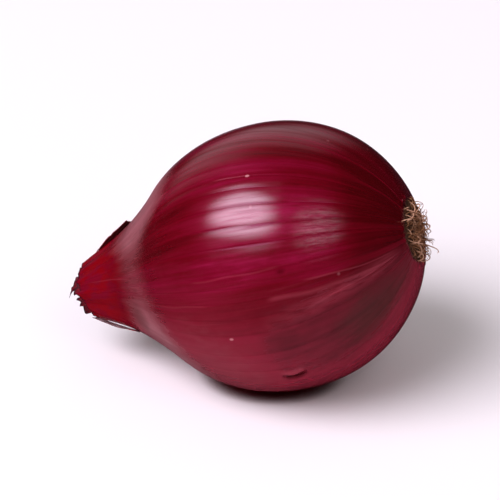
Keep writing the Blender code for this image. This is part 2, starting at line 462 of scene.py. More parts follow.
class Wiring:
    """Adds and joins the nodes of one material or group."""

    def __init__(self, tree: bpy.types.NodeTree) -> None:
        """Keep the node tree to work on."""
        self.tree = tree

    def add(self, kind: str, **settings: object) -> bpy.types.Node:
        """Add a node of a kind and set its properties.

        Args:
            kind: The node's type.
            settings: Its properties by name.

        Returns:
            The new node.
        """
        node = self.tree.nodes.new(kind)
        for name, value in settings.items():
            setattr(node, name, value)
        return node

    def feed(self, socket: Socket, value: object) -> None:
        """Join a socket to another node's output, or set it to a plain value.

        Args:
            socket: The input socket.
            value: An output socket, or the plain value.
        """
        if isinstance(value, bpy.types.NodeSocket):
            self.tree.links.new(value, socket)
        else:
            socket.default_value = value

    def maths(self, operation: str, first: object, second: object = 0.0) -> Socket:
        """Add a Math node and return its result.

        Args:
            operation: The node's operation.
            first: The first value, plain or a socket.
            second: The second value.

        Returns:
            The result's socket.
        """
        node = self.add("ShaderNodeMath", operation=operation)
        self.feed(node.inputs[0], first)
        self.feed(node.inputs[1], second)
        return node.outputs[0]

    def times(self, first: object, second: object) -> Socket:
        """Return the product of two values."""
        return self.maths("MULTIPLY", first, second)

    def plus(self, first: object, second: object) -> Socket:
        """Return the sum of two values."""
        return self.maths("ADD", first, second)

    def minus(self, first: object, second: object) -> Socket:
        """Return the first value less the second."""
        return self.maths("SUBTRACT", first, second)

    def highest(self, first: object, second: object) -> Socket:
        """Return the higher of two values."""
        return self.maths("MAXIMUM", first, second)

    def ramp(
        self, value: object, start: object, end: object, low: object = 0.0, high: object = 1.0
    ) -> Socket:
        """Add a smooth Map Range node and return its result.

        Args:
            value: The value to judge.
            start: Where the change starts.
            end: Where it is complete, which may lie below start.
            low: The result before start.
            high: The result after end.

        Returns:
            The result's socket.
        """
        node = self.add("ShaderNodeMapRange", interpolation_type="SMOOTHSTEP")
        ends = {"Value": value, "From Min": start, "From Max": end, "To Min": low, "To Max": high}
        for name, item in ends.items():
            self.feed(node.inputs[name], item)
        return node.outputs["Result"]

    def stretch(self, value: object, edges: tuple[float, float, float, float]) -> Socket:
        """Return a hill that rises between the first two edges and falls between the last two."""
        rise_start, rise_end, fall_start, fall_end = edges
        return self.times(self.ramp(value, fall_end, fall_start), self.ramp(value, rise_start, rise_end))

    def mix(self, share: object, first: object, second: object) -> Socket:
        """Add a colour Mix node and return its result.

        Args:
            share: The share of the second colour.
            first: The first colour, plain or a socket.
            second: The second colour.

        Returns:
            The result's socket.
        """
        node = self.add("ShaderNodeMix", data_type="RGBA", clamp_factor=True)
        self.feed(node.inputs[0], share)
        self.feed(node.inputs[6], first)
        self.feed(node.inputs[7], second)
        return node.outputs[2]

    def tint(self, colour: object, share: object, pigment: Colour) -> Socket:
        """Lay a share of a pigment over a colour."""
        return self.mix(share, colour, opaque(pigment))

    def split(self, vector: Socket) -> tuple[Socket, Socket, Socket]:
        """Return the three parts of a vector."""
        node = self.add("ShaderNodeSeparateXYZ")
        self.feed(node.inputs[0], vector)
        return node.outputs[0], node.outputs[1], node.outputs[2]

    def mapped(self, uv_map: str) -> tuple[Socket, Socket]:
        """Return the two numbers of a UV map."""
        return self.split(self.add("ShaderNodeUVMap", uv_map=uv_map).outputs[0])[:2]

    def group(self, tree: bpy.types.NodeTree, **values: object) -> bpy.types.Node:
        """Place a node group and feed its inputs, named with underscores for spaces."""
        node = self.add("ShaderNodeGroup", node_tree=tree)
        for name, value in values.items():
            self.feed(node.inputs[name.replace("_", " ")], value)
        return node


def new_group(name: str, inputs: dict[str, float], outputs: Sequence[str]) -> tuple[Wiring, dict, dict]:
    """Start a shader node group with number sockets.

    Args:
        name: The group's name.
        inputs: The inputs and their usual values.
        outputs: The outputs.

    Returns:
        The wiring of the group, its inputs by name, and its output sockets by name.
    """
    tree = bpy.data.node_groups.new(name, "ShaderNodeTree")
    for title, value in inputs.items():
        socket = tree.interface.new_socket(name=title, in_out="INPUT", socket_type="NodeSocketFloat")
        socket.default_value = value
    for title in outputs:
        tree.interface.new_socket(name=title, in_out="OUTPUT", socket_type="NodeSocketFloat")
    wiring = Wiring(tree)
    start = wiring.add("NodeGroupInput")
    end = wiring.add("NodeGroupOutput")
    given = {title: start.outputs[title] for title in inputs}
    result = {title: end.inputs[title] for title in outputs}
    return wiring, given, result


class SkinPatterns:
    """The node groups that more than one finish uses."""

    def __init__(self) -> None:
        """Build each group once."""
        self.streaks = self._streaks()
        self.ribs = self._ribs()
        self.line = self._line()
        self.patch = self._patch()
        self.specks = self._specks()

    @staticmethod
    def _streaks() -> bpy.types.NodeTree:
        """Build lengthwise streaks: noise that is drawn out along the axis and closes round it."""
        usual = {"Across": 10.0, "Along": 0.5, "Detail": 3.0, "Seed": 0.0, "Low": 0.35, "High": 0.65}
        wiring, given, result = new_group("lengthwise_streaks", usual, ["Value"])
        turns, along = wiring.mapped("meridian")
        angle = wiring.times(turns, TURN)
        vector = wiring.add("ShaderNodeCombineXYZ")
        wiring.feed(vector.inputs[0], wiring.times(wiring.maths("COSINE", angle), given["Across"]))
        wiring.feed(vector.inputs[1], wiring.times(wiring.maths("SINE", angle), given["Across"]))
        wiring.feed(vector.inputs[2], wiring.plus(wiring.times(along, given["Along"]), given["Seed"]))
        noise = wiring.add("ShaderNodeTexNoise")
        wiring.feed(noise.inputs["Vector"], vector.outputs[0])
        wiring.feed(noise.inputs["Scale"], 1.0)
        wiring.feed(noise.inputs["Detail"], given["Detail"])
        wiring.feed(result["Value"], wiring.ramp(noise.outputs["Fac"], given["Low"], given["High"]))
        return wiring.tree

    @staticmethod
    def _ribs() -> bpy.types.NodeTree:
        """Build the grooves between the ribs and a tone for each rib, from the rib map."""
        wiring, given, result = new_group("skin_ribs", {"Groove Width": 0.1}, ["Groove", "Tone"])
        number, _ = wiring.mapped("ribs")
        share = wiring.maths("FRACT", number)
        nearest = wiring.maths("MINIMUM", share, wiring.minus(1.0, share))
        wiring.feed(result["Groove"], wiring.ramp(nearest, 0.0, given["Groove Width"], 1.0, 0.0))
        tone = wiring.add("ShaderNodeTexWhiteNoise", noise_dimensions="1D")
        wiring.feed(tone.inputs["W"], wiring.maths("FLOOR", number))
        wiring.feed(result["Tone"], tone.outputs["Value"])
        return wiring.tree

    @staticmethod
    def _line() -> bpy.types.NodeTree:
        """Build one fine line along the skin, such as a raised vein or a crease."""
        usual = {"Degrees": 70.0, "Degrees per cm": 0.0, "Start": -1.0, "End": 1.0, "Half Width": 0.5}
        wiring, given, result = new_group("skin_line", usual, ["Mask"])
        turns, along = wiring.mapped("meridian")
        degrees = wiring.times(turns, 360.0)
        past_start = wiring.minus(along, given["Start"])
        drift = wiring.times(past_start, given["Degrees per cm"])
        wander = wiring.times(wiring.maths("SINE", wiring.times(along, 6.0)), 0.25)
        middle = wiring.plus(wiring.plus(given["Degrees"], drift), wander)
        away = wiring.maths("ABSOLUTE", wiring.minus(degrees, middle))
        across = wiring.ramp(away, 0.0, given["Half Width"], 1.0, 0.0)
        after = wiring.ramp(past_start, 0.0, 0.25)
        before = wiring.ramp(wiring.minus(given["End"], along), 0.0, 0.25)
        wiring.feed(result["Mask"], wiring.times(across, wiring.times(after, before)))
        return wiring.tree

    def _patch(self) -> bpy.types.NodeTree:
        """Build one soft rounded patch on the skin, a little ragged at its edge."""
        usual = {"Degrees": 100.0, "Middle": 0.0, "Half Degrees": 10.0, "Half Length": 0.5, "Softness": 0.4}
        wiring, given, result = new_group("skin_patch", usual, ["Mask"])
        turns, along = wiring.mapped("meridian")
        aside = wiring.minus(wiring.times(turns, 360.0), given["Degrees"])
        side = wiring.maths("DIVIDE", aside, given["Half Degrees"])
        end = wiring.maths("DIVIDE", wiring.minus(along, given["Middle"]), given["Half Length"])
        squares = wiring.plus(wiring.maths("POWER", side, 2.0), wiring.maths("POWER", end, 2.0))
        reach = wiring.maths("SQRT", squares)
        ragged = wiring.group(self.streaks, Across=16.0, Along=3.0, Seed=31.0, Low=0.2, High=0.8)
        uneven = wiring.plus(reach, wiring.times(wiring.minus(ragged.outputs[0], 0.5), 0.5))
        inner = wiring.minus(1.0, given["Softness"])
        outer = wiring.plus(1.0, given["Softness"])
        wiring.feed(result["Mask"], wiring.ramp(uneven, inner, outer, 1.0, 0.0))
        return wiring.tree

    @staticmethod
    def _specks() -> bpy.types.NodeTree:
        """Build scattered specks in the piece's own space."""
        usual = {"Per Metre": 400.0, "Size": 0.2, "Share": 0.1}
        wiring, given, result = new_group("specks", usual, ["Mask"])
        place = wiring.add("ShaderNodeTexCoord")
        cells = wiring.add("ShaderNodeTexVoronoi")
        wiring.feed(cells.inputs["Vector"], place.outputs["Object"])
        wiring.feed(cells.inputs["Scale"], given["Per Metre"])
        dot = wiring.ramp(cells.outputs["Distance"], 0.0, given["Size"], 1.0, 0.0)
        parts = wiring.add("ShaderNodeSeparateColor")
        wiring.feed(parts.inputs[0], cells.outputs["Color"])
        chosen = wiring.maths("LESS_THAN", parts.outputs[0], given["Share"])
        wiring.feed(result["Mask"], wiring.times(dot, chosen))
        return wiring.tree


class FinishWiring(Wiring):
    """The wiring of one finish, with its material, its shader and the shared patterns."""

    def __init__(self, name: str, patterns: SkinPatterns) -> None:
        """Start the material.

        Args:
            name: The material's name.
            patterns: The shared node groups.
        """
        self.material = bpy.data.materials.new(name)
        self.material.use_nodes = True
        super().__init__(self.material.node_tree)
        self.shader = self.tree.nodes["Principled BSDF"]
        self.patterns = patterns

    def streaks(self, **values: float) -> Socket:
        """Place lengthwise streaks and return their value."""
        return self.group(self.patterns.streaks, **values).outputs[0]

    def patch(self, **values: float) -> Socket:
        """Place a soft patch and return its mask."""
        return self.group(self.patterns.patch, **values).outputs[0]

    def line(self, **values: float) -> Socket:
        """Place a fine line and return its mask."""
        return self.group(self.patterns.line, **values).outputs[0]

    def specks(self, **values: float) -> Socket:
        """Place scattered specks and return their mask."""
        return self.group(self.patterns.specks, **values).outputs[0]

    def marks(self) -> tuple[Socket, Socket, Socket]:
        """Return the three marks that are kept at the piece's vertices."""
        return self.split(self.add("ShaderNodeAttribute", attribute_name="marks").outputs["Vector"])

    def emboss(self, height: Socket) -> None:
        """Raise the surface by a height in millimetres."""
        relief = self.add("ShaderNodeBump")
        relief.inputs["Strength"].default_value = 1.0
        relief.inputs["Distance"].default_value = MM
        self.feed(relief.inputs["Height"], height)
        self.feed(self.shader.inputs["Normal"], relief.outputs["Normal"])


@dataclass(frozen=True)
class SkinMasks:
    """What the skin's colour, its gloss and its relief all read.

    Attributes:
        along: The place along the axis, in centimetres.
        degrees: The angle round it.
        fine: The finest streaks.
        worn: Broad streaks of wear.
        groove: The grooves between the ribs.
        rib_tone: A tone for each rib.
        floor_reflection_side: 1 on the underside, where the pale floor's reflection is painted, and 0 on
            top.
        neck: 0 on the bulb and 1 on the dry neck.
        bloom_and_sheen: The pale bloom behind the neck, partly a painted sheen of the floor mirrored there.
        film: The dull film on the lower root side.
        veins: The raised pale veins and creases.
        grain: The fine grain towards the roots.
    """

    along: Socket
    degrees: Socket
    fine: Socket
    worn: Socket
    groove: Socket
    rib_tone: Socket
    floor_reflection_side: Socket
    neck: Socket
    bloom_and_sheen: Socket
    film: Socket
    veins: Socket
    grain: Socket


@dataclass(frozen=True)
class SkinFinish:
    """The glossy skin of the bulb, which turns papery on the neck.

    Attributes:
        wine: The darkest tone of the streaks.
        crimson: The usual tone.
        rose: The lighter tone.
        magenta: The brightest tone.
        floor_reflection: The paler pink-red of the underside: painted reflection of the pale floor.
        neck: The bright dry red of the neck.
        blotch: The darker red of the neck's blotches.
        bloom_and_sheen: The pale pink-grey where the bulb draws in to the neck: dry bloom and a painted
            sheen of the floor mirrored there.
        edge: The dark purple of a torn edge.
        film: The dull brown-red of the matte film.
        olive: The greenish grey of its dullest patches.
        pale: The pinkish tint of veins and of the nick's flake.
        scar: The paler tint of small scars.
        coat: How strong the gloss is where nothing dulls it.
        coat_roughness: How blurred the gloss is.
        specular_level: How much the skin under the gloss mirrors.
        specular_tint: The tint of what it mirrors.
    """

    wine: Colour = (0.056, 0.0003, 0.0016)
    crimson: Colour = (0.102, 0.0005, 0.0046)
    rose: Colour = (0.142, 0.0014, 0.0130)
    magenta: Colour = (0.208, 0.0042, 0.0330)
    floor_reflection: Colour = (0.280, 0.0230, 0.0450)
    neck: Colour = (0.180, 0.0004, 0.0034)
    blotch: Colour = (0.130, 0.0018, 0.0150)
    bloom_and_sheen: Colour = (0.285, 0.0970, 0.1110)
    edge: Colour = (0.035, 0.0050, 0.0120)
    film: Colour = (0.072, 0.0070, 0.0088)
    olive: Colour = (0.060, 0.0240, 0.0170)
    pale: Colour = (0.300, 0.0420, 0.0640)
    scar: Colour = (0.600, 0.2400, 0.2700)
    coat: float = 0.90
    coat_roughness: float = 0.14
    specular_level: float = 0.20
    specular_tint: Colour = (1.0, 0.50, 0.85)

    def build(self, patterns: SkinPatterns) -> bpy.types.Material:
        """Make the material.

        Args:
            patterns: The shared node groups.

        Returns:
            The finished material.
        """
        wiring = FinishWiring("glossy_onion_skin", patterns)
        masks = self._masks(wiring)
        inputs = wiring.shader.inputs
        wiring.feed(inputs["Base Color"], self._marked(wiring, masks, self._ground(wiring, masks)))
        rough = wiring.ramp(masks.fine, 0.0, 1.0, 0.17, 0.21)
        dulled = wiring.highest(wiring.times(masks.film, 0.25), wiring.times(masks.bloom_and_sheen, 0.4))
        wiring.feed(inputs["Roughness"], wiring.plus(rough, dulled))
        wiring.feed(inputs["Coat Weight"], self._gloss(wiring, masks))
        inputs["Coat Roughness"].default_value = self.coat_roughness
        inputs["Specular IOR Level"].default_value = self.specular_level
        inputs["Specular Tint"].default_value = opaque(self.specular_tint)
        wiring.emboss(self._height(wiring, masks))
        return wiring.material

    def _masks(self, wiring: FinishWiring) -> SkinMasks:
        """Work out everything that colour, gloss and relief share.

        Args:
            wiring: The material's wiring.

        Returns:
            The shared masks.
        """
        turns, along = wiring.mapped("meridian")
        degrees = wiring.times(turns, 360.0)
        ribs = wiring.group(wiring.patterns.ribs, Groove_Width=0.09)
        return SkinMasks(
            along=along,
            degrees=degrees,
            fine=wiring.streaks(Across=52.0, Along=0.8, Detail=4.0, Seed=23.0, Low=0.30, High=0.70),
            worn=wiring.streaks(Across=8.0, Along=0.2, Detail=1.0, Seed=91.0, Low=0.3, High=0.7),
            groove=ribs.outputs["Groove"],
            rib_tone=ribs.outputs["Tone"],
            floor_reflection_side=self._floor_reflection_side(wiring, degrees),
            neck=wiring.ramp(along, -3.0, -3.5),
            bloom_and_sheen=self._bloom_and_sheen(wiring, along, degrees),
            film=self._film(wiring),
            veins=self._veins(wiring),
            grain=self._grain(wiring),
        )

    def _ground(self, wiring: FinishWiring, masks: SkinMasks) -> Socket:
        """Return the skin's ground colour: the streaked bulb, the painted floor reflection on the underside,
        the neck, and the bloom with its painted sheen.

        Args:
            wiring: The material's wiring.
            masks: The shared masks.

        Returns:
            The ground colour.
        """
        colour = self._pigment(wiring, self._tone(wiring, masks))
        # Painted reflection: the underside is paled towards the pink of the pale floor that it mirrors.
        colour = wiring.tint(colour, wiring.times(masks.floor_reflection_side, 0.80), self.floor_reflection)
        cloud = wiring.streaks(Across=5.5, Along=3.2, Detail=4.0, Seed=83.0, Low=0.42, High=0.62)
        neck_red = wiring.tint(opaque(self.neck), wiring.times(cloud, 0.65), self.blotch)
        neck_red = wiring.tint(neck_red, wiring.ramp(masks.along, -3.95, -3.40, 0.0, 0.55), self.crimson)
        colour = wiring.mix(wiring.times(masks.neck, 0.94), colour, neck_red)
        # Painted sheen: the bloom's pale also paints the floor mirrored where the bulb draws in to the neck.
        colour = wiring.tint(colour, masks.bloom_and_sheen, self.bloom_and_sheen)
        # Painted reflection of the pale floor on the lower side towards the neck, in the bloom's colour.
        veil = wiring.patch(Degrees=132.0, Middle=-1.6, Half_Degrees=30.0, Half_Length=1.1, Softness=0.7)
        colour = wiring.tint(colour, wiring.times(veil, 0.22), self.bloom_and_sheen)
        dark_lines = wiring.times(masks.fine, wiring.times(masks.neck, 0.16))
        colour = wiring.tint(colour, dark_lines, self.wine)
        return wiring.tint(colour, wiring.times(masks.groove, 0.14), self.wine)

    def _marked(self, wiring: FinishWiring, masks: SkinMasks, colour: Socket) -> Socket:
        """Lay the veins, the film, the nick, the scars and the torn edge over the ground colour.

        Args:
            wiring: The material's wiring.
            masks: The shared masks.
            colour: The ground colour.

        Returns:
            The finished colour.
        """
        torn_edge, flake, dent_and_shade = wiring.marks()
        # Pale veins, with a painted highlight along the raised crease at 71 degrees.
        colour = wiring.tint(colour, wiring.times(masks.veins, 0.30), self.pale)
        hairs = wiring.streaks(Across=70.0, Along=0.5, Detail=3.0, Seed=61.0, Low=0.60, High=0.78)
        hair_share = wiring.plus(wiring.times(masks.floor_reflection_side, 0.16), 0.06)
        colour = wiring.tint(colour, wiring.times(hairs, hair_share), self.pale)
        band = self._band(wiring, masks.along)
        clear = wiring.minus(1.0, wiring.times(band, 0.85))
        colour = wiring.tint(colour, wiring.times(wiring.times(masks.film, 0.84), clear), self.film)
        colour = wiring.tint(colour, wiring.times(band, 0.38), self.pale)
        spot = wiring.patch(Degrees=114.0, Middle=2.25, Half_Degrees=13.0, Half_Length=0.55, Softness=0.7)
        colour = wiring.tint(colour, wiring.times(spot, 0.50), self.olive)
        spot = wiring.patch(Degrees=99.0, Middle=-3.02, Half_Degrees=13.0, Half_Length=0.20, Softness=0.7)
        colour = wiring.tint(colour, wiring.times(spot, 0.40), self.olive)
        colour = wiring.tint(colour, wiring.times(flake, 0.7), self.pale)
        # Painted shade: the nick's dent and the crease's tick are darkened.
        colour = wiring.tint(colour, wiring.times(dent_and_shade, 0.95), self.wine)
        scars = wiring.times(wiring.specks(Per_Metre=260.0, Size=0.14, Share=0.06), 0.3)
        for degrees, along in ((29.0, 0.37), (98.2, -0.58)):
            scar = wiring.patch(Degrees=degrees, Middle=along, Half_Degrees=0.6, Half_Length=0.045)
            scars = wiring.highest(scars, scar)
        colour = wiring.tint(colour, wiring.times(scars, 0.6), self.scar)
        return wiring.tint(colour, wiring.times(torn_edge, 0.9), self.edge)

    def _gloss(self, wiring: FinishWiring, masks: SkinMasks) -> Socket:
        """Return the strength of the gloss, which valleys, grain, rubbing and dryness take away.

        Args:
            wiring: The material's wiring.
            masks: The shared masks.

        Returns:
            The strength, 0 to 1.
        """
        dry = wiring.highest(wiring.highest(masks.film, masks.neck), wiring.times(masks.bloom_and_sheen, 0.9))
        valleys = wiring.group(wiring.patterns.ribs, Groove_Width=0.25).outputs["Groove"]
        shading = wiring.ramp(masks.worn, 0.0, 1.0, 0.45, 0.95)
        shading = wiring.times(shading, wiring.ramp(masks.degrees, 8.0, 36.0, 0.30, 1.0))
        missing = wiring.plus(wiring.times(valleys, shading), wiring.times(masks.grain, 0.6))
        rubbed = wiring.streaks(Across=34.0, Along=0.75, Detail=2.0, Seed=43.0, Low=0.44, High=0.72)
        missing = wiring.plus(missing, wiring.times(rubbed, 0.55))
        return wiring.times(wiring.minus(1.0, wiring.highest(dry, missing)), self.coat)

    @staticmethod
    def _height(wiring: FinishWiring, masks: SkinMasks) -> Socket:
        """Return the height of the skin's finest relief, in millimetres.

        Args:
            wiring: The material's wiring.
            masks: The shared masks.

        Returns:
            The height.
        """
        depth = wiring.ramp(masks.worn, 0.0, 1.0, -0.008, -0.036)
        depth = wiring.times(depth, wiring.ramp(masks.degrees, 8.0, 36.0, 0.35, 1.0))
        height = wiring.times(masks.groove, depth)
        combed = wiring.streaks(Across=30.0, Along=0.6, Detail=0.0, Seed=23.0, Low=0.30, High=0.70)
        for relief, raised in ((combed, 0.004), (masks.veins, 0.020), (masks.grain, 0.010)):
            height = wiring.plus(height, wiring.times(relief, raised))
        return height

    def _pigment(self, wiring: FinishWiring, tone: Socket) -> Socket:
        """Turn a tone from 0 to 1 into the skin's red, from wine to magenta.

        Args:
            wiring: The material's wiring.
            tone: The tone.

        Returns:
            The colour.
        """
        ramp = wiring.add("ShaderNodeValToRGB")
        stops = ramp.color_ramp.elements
        stops[0].position, stops[0].color = 0.0, opaque(self.wine)
        stops[1].position, stops[1].color = 1.0, opaque(self.magenta)
        for position, colour in ((0.35, self.crimson), (0.66, self.rose)):
            stops.new(position).color = opaque(colour)
        wiring.feed(ramp.inputs[0], tone)
        return ramp.outputs[0]

    @staticmethod
    def _tone(wiring: FinishWiring, masks: SkinMasks) -> Socket:
        """Return the skin's tone, about 0 to 1: streaks of several widths, with dark sides, painted glows
        round the two highlights and painted shade towards the roots.

        Args:
            wiring: The material's wiring.
            masks: The shared masks.

        Returns:
            The tone.
        """
        broad = wiring.streaks(Across=2.4, Along=0.30, Detail=2.0, Seed=3.0, Low=0.32, High=0.68)
        medium = wiring.streaks(Across=9.0, Along=0.30, Detail=3.0, Seed=11.0, Low=0.34, High=0.66)
        narrow = wiring.streaks(Across=24.0, Along=0.45, Detail=3.0, Seed=37.0, Low=0.32, High=0.68)
        shares = ((broad, 0.24), (medium, 0.30), (narrow, 0.17), (masks.fine, 0.09), (masks.rib_tone, 0.16))
        tone: object = 0.46
        for streaks, share in shares:
            tone = wiring.plus(tone, wiring.times(wiring.minus(streaks, 0.5), share))
        gathered = wiring.ramp(masks.along, 2.2, 2.8, 0.0, 0.32)
        tone = wiring.plus(tone, wiring.times(wiring.minus(narrow, 0.5), gathered))
        wine_side = wiring.patch(
            Degrees=44.0, Middle=-1.55, Half_Degrees=24.0, Half_Length=0.95, Softness=0.5
        )
        upper_side = wiring.patch(
            Degrees=20.0, Middle=1.55, Half_Degrees=15.0, Half_Length=1.05, Softness=0.6
        )
        # Painted glow: lighter, more magenta skin round the main highlight.
        highlight_glow = wiring.patch(Degrees=45.0, Middle=0.20, Half_Degrees=22.0, Half_Length=1.1, Softness=0.6)
        # Painted glow: lighter skin round the weak side highlight.
        near_side = wiring.patch(Degrees=61.0, Middle=1.5, Half_Degrees=20.0, Half_Length=0.75, Softness=0.6)
        # Painted shade: the skin darkens towards the roots.
        root_side = wiring.ramp(masks.along, 1.7, 2.5)
        sides = (
            (wine_side, -0.20),
            (upper_side, -0.20),
            (highlight_glow, 0.24),
            (near_side, 0.14),
            (root_side, -0.40),
        )
        for side, lighter in sides:
            tone = wiring.plus(tone, wiring.times(side, lighter))
        return tone

    @staticmethod
    def _grain(wiring: FinishWiring) -> Socket:
        """Return the fine grain of the patch of skin towards the roots."""
        cells = wiring.streaks(Across=75.0, Along=6.0, Detail=3.0, Seed=53.0, Low=0.35, High=0.65)
        patch = wiring.patch(Degrees=56.0, Middle=1.55, Half_Degrees=16.0, Half_Length=0.60, Softness=0.4)
        return wiring.times(cells, patch)

    @staticmethod
    def _floor_reflection_side(wiring: FinishWiring, degrees: Socket) -> Socket:
        """Return 1 on the underside, where the pale floor's reflection is painted, and 0 on top."""
        clear = wiring.patch(Degrees=86.0, Middle=1.05, Half_Degrees=12.0, Half_Length=1.3, Softness=0.6)
        front = wiring.ramp(degrees, 66.0, 128.0)
        front = wiring.times(front, wiring.minus(1.0, wiring.times(clear, 0.55)))
        return wiring.highest(front, wiring.ramp(degrees, -95.0, -130.0))

    @staticmethod
    def _bloom_and_sheen(wiring: FinishWiring, along: Socket, degrees: Socket) -> Socket:
        """Return the pale bloom with its painted sheen: a ring behind the neck, strongest above and below.

        Args:
            wiring: The material's wiring.
            along: The place along the axis, in centimetres.
            degrees: The angle round the axis.

        Returns:
            The share of bloom and painted sheen, 0 to about 0.9.
        """
        turned = wiring.maths("MODULO", wiring.plus(degrees, 483.0), 360.0)
        side = wiring.minus(turned, 180.0)
        above = wiring.times(wiring.ramp(side, -8.0, -44.0), 0.82)
        below = wiring.times(wiring.ramp(side, 8.0, 93.0), 1.10)
        hidden = wiring.ramp(wiring.maths("ABSOLUTE", side), 95.0, 150.0)
        spread = wiring.highest(above, below)
        spread = wiring.minus(spread, wiring.times(hidden, wiring.minus(spread, 0.3)))
        ragged = wiring.streaks(Across=7.0, Along=0.9, Detail=4.0, Seed=71.0, Low=0.2, High=0.8)
        drawn = wiring.plus(along, wiring.ramp(ragged, 0.0, 1.0, -0.09, 0.09))
        after = wiring.ramp(wiring.plus(drawn, wiring.times(above, 0.30)), -3.50, -2.74)
        before = wiring.ramp(wiring.minus(drawn, spread), -2.32, -2.98)
        above = wiring.ramp(side, -5.0, -31.0, 0.27, 0.86)
        below = wiring.ramp(side, 3.0, 52.0, 0.05, 1.0)
        strength = wiring.highest(above, below)
        strength = wiring.times(strength, wiring.minus(1.0, wiring.times(hidden, 0.3)))
        mottled = wiring.streaks(Across=22.0, Along=1.6, Detail=4.0, Seed=77.0, Low=0.2, High=0.8)
        strength = wiring.times(strength, wiring.ramp(mottled, 0.0, 1.0, 0.72, 1.05))
        return wiring.times(wiring.times(after, before), strength)

    @staticmethod
    def _veins(wiring: FinishWiring) -> Socket:
        """Return the mask of the raised pale veins and creases; the pale on the crease at 71 degrees is a
        painted highlight.
        """
        lines = (
            (71.0, -0.2, -1.2, 0.9, 0.8, 0.45),
            (83.0, 1.4, 0.4, 2.8, 1.8, 1.0),
            (78.0, 2.3, 1.2, 2.95, 0.9, 0.9),
            (91.5, -2.6, 1.0, 2.95, 1.0, 1.0),
            (81.5, 0.2, -2.4, -0.8, 0.8, 0.45),
            (28.5, 0.0, -0.5, 0.45, 0.5, 0.9),
            (57.0, 5.0, -4.3, -2.9, 1.2, 0.6),
        )
        total: object = 0.0
        for degrees, slope, start, end, width, strength in lines:
            line = wiring.line(Degrees=degrees, Degrees_per_cm=slope, Start=start, End=end, Half_Width=width)
            total = wiring.highest(total, wiring.times(line, strength))
        return total

    @staticmethod
    def _band(wiring: FinishWiring, along: Socket) -> Socket:
        """Return the mask of the mottled pale band that runs down from the roots through the film."""
        line = wiring.line(Degrees=94.5, Degrees_per_cm=-3.0, Start=0.15, End=2.95, Half_Width=8.0)
        mottled = wiring.streaks(Across=26.0, Along=2.4, Detail=4.0, Seed=67.0, Low=0.30, High=0.62)
        fading = wiring.times(line, wiring.ramp(along, 0.1, 1.9, 0.25, 1.0))
        return wiring.times(fading, wiring.ramp(mottled, 0.0, 1.0, 0.25, 1.0))

    @staticmethod
    def _film(wiring: FinishWiring) -> Socket:
        """Return the mask of the dull film on the lower root side: a broad veil with denser patches."""
        veil = wiring.patch(Degrees=109.0, Middle=1.75, Half_Degrees=21.0, Half_Length=1.45, Softness=0.50)
        dense = wiring.patch(Degrees=111.0, Middle=1.9, Half_Degrees=14.0, Half_Length=1.0, Softness=0.60)
        rounded = wiring.patch(Degrees=106.0, Middle=0.62, Half_Degrees=8.5, Half_Length=0.48, Softness=0.90)
        total = wiring.highest(wiring.highest(wiring.times(veil, 0.80), dense), rounded)
        broken = wiring.streaks(Across=15.0, Along=0.5, Detail=3.0, Seed=29.0, Low=0.35, High=0.65)
        return wiring.times(total, wiring.ramp(broken, 0.0, 1.0, 0.66, 1.0))


@dataclass(frozen=True)
class PaperFinish:
    """Thin dry skin: matte, streaked lengthwise and dark at its torn edges.

    Attributes:
        name: The material's name.
        light: The lighter tone of the streaks.
        dark: The darker tone.
        inside: The skin's pale inner side, which also paints the light seen through the gap under the lower
            flap.
        edge: Its torn edges.
    """

    name: str
    light: Colour
    dark: Colour
    inside: Colour = (0.62, 0.38, 0.40)
    edge: Colour = (0.030, 0.0040, 0.0110)

    def build(self, patterns: SkinPatterns) -> bpy.types.Material:
        """Make the material from the shared node groups."""
        wiring = FinishWiring(self.name, patterns)
        edge, inside, _ = wiring.marks()
        medium = wiring.streaks(Across=14.0, Along=0.6, Detail=3.0, Seed=5.0, Low=0.35, High=0.65)
        fine = wiring.streaks(Across=60.0, Along=1.0, Detail=4.0, Seed=17.0, Low=0.3, High=0.7)
        colour = wiring.mix(medium, opaque(self.dark), opaque(self.light))
        colour = wiring.tint(colour, wiring.times(fine, 0.35), self.dark)
        # Pale inner side, partly painted light seen through the gap under the lower flap.
        colour = wiring.tint(colour, inside, self.inside)
        colour = wiring.tint(colour, wiring.times(edge, 0.9), self.edge)
        wiring.feed(wiring.shader.inputs["Base Color"], colour)
        wiring.feed(wiring.shader.inputs["Roughness"], wiring.ramp(fine, 0.0, 1.0, 0.46, 0.62))
        wiring.shader.inputs["Specular IOR Level"].default_value = 0.2
        wiring.emboss(wiring.plus(wiring.times(fine, 0.05), wiring.times(medium, 0.08)))
        return wiring.material


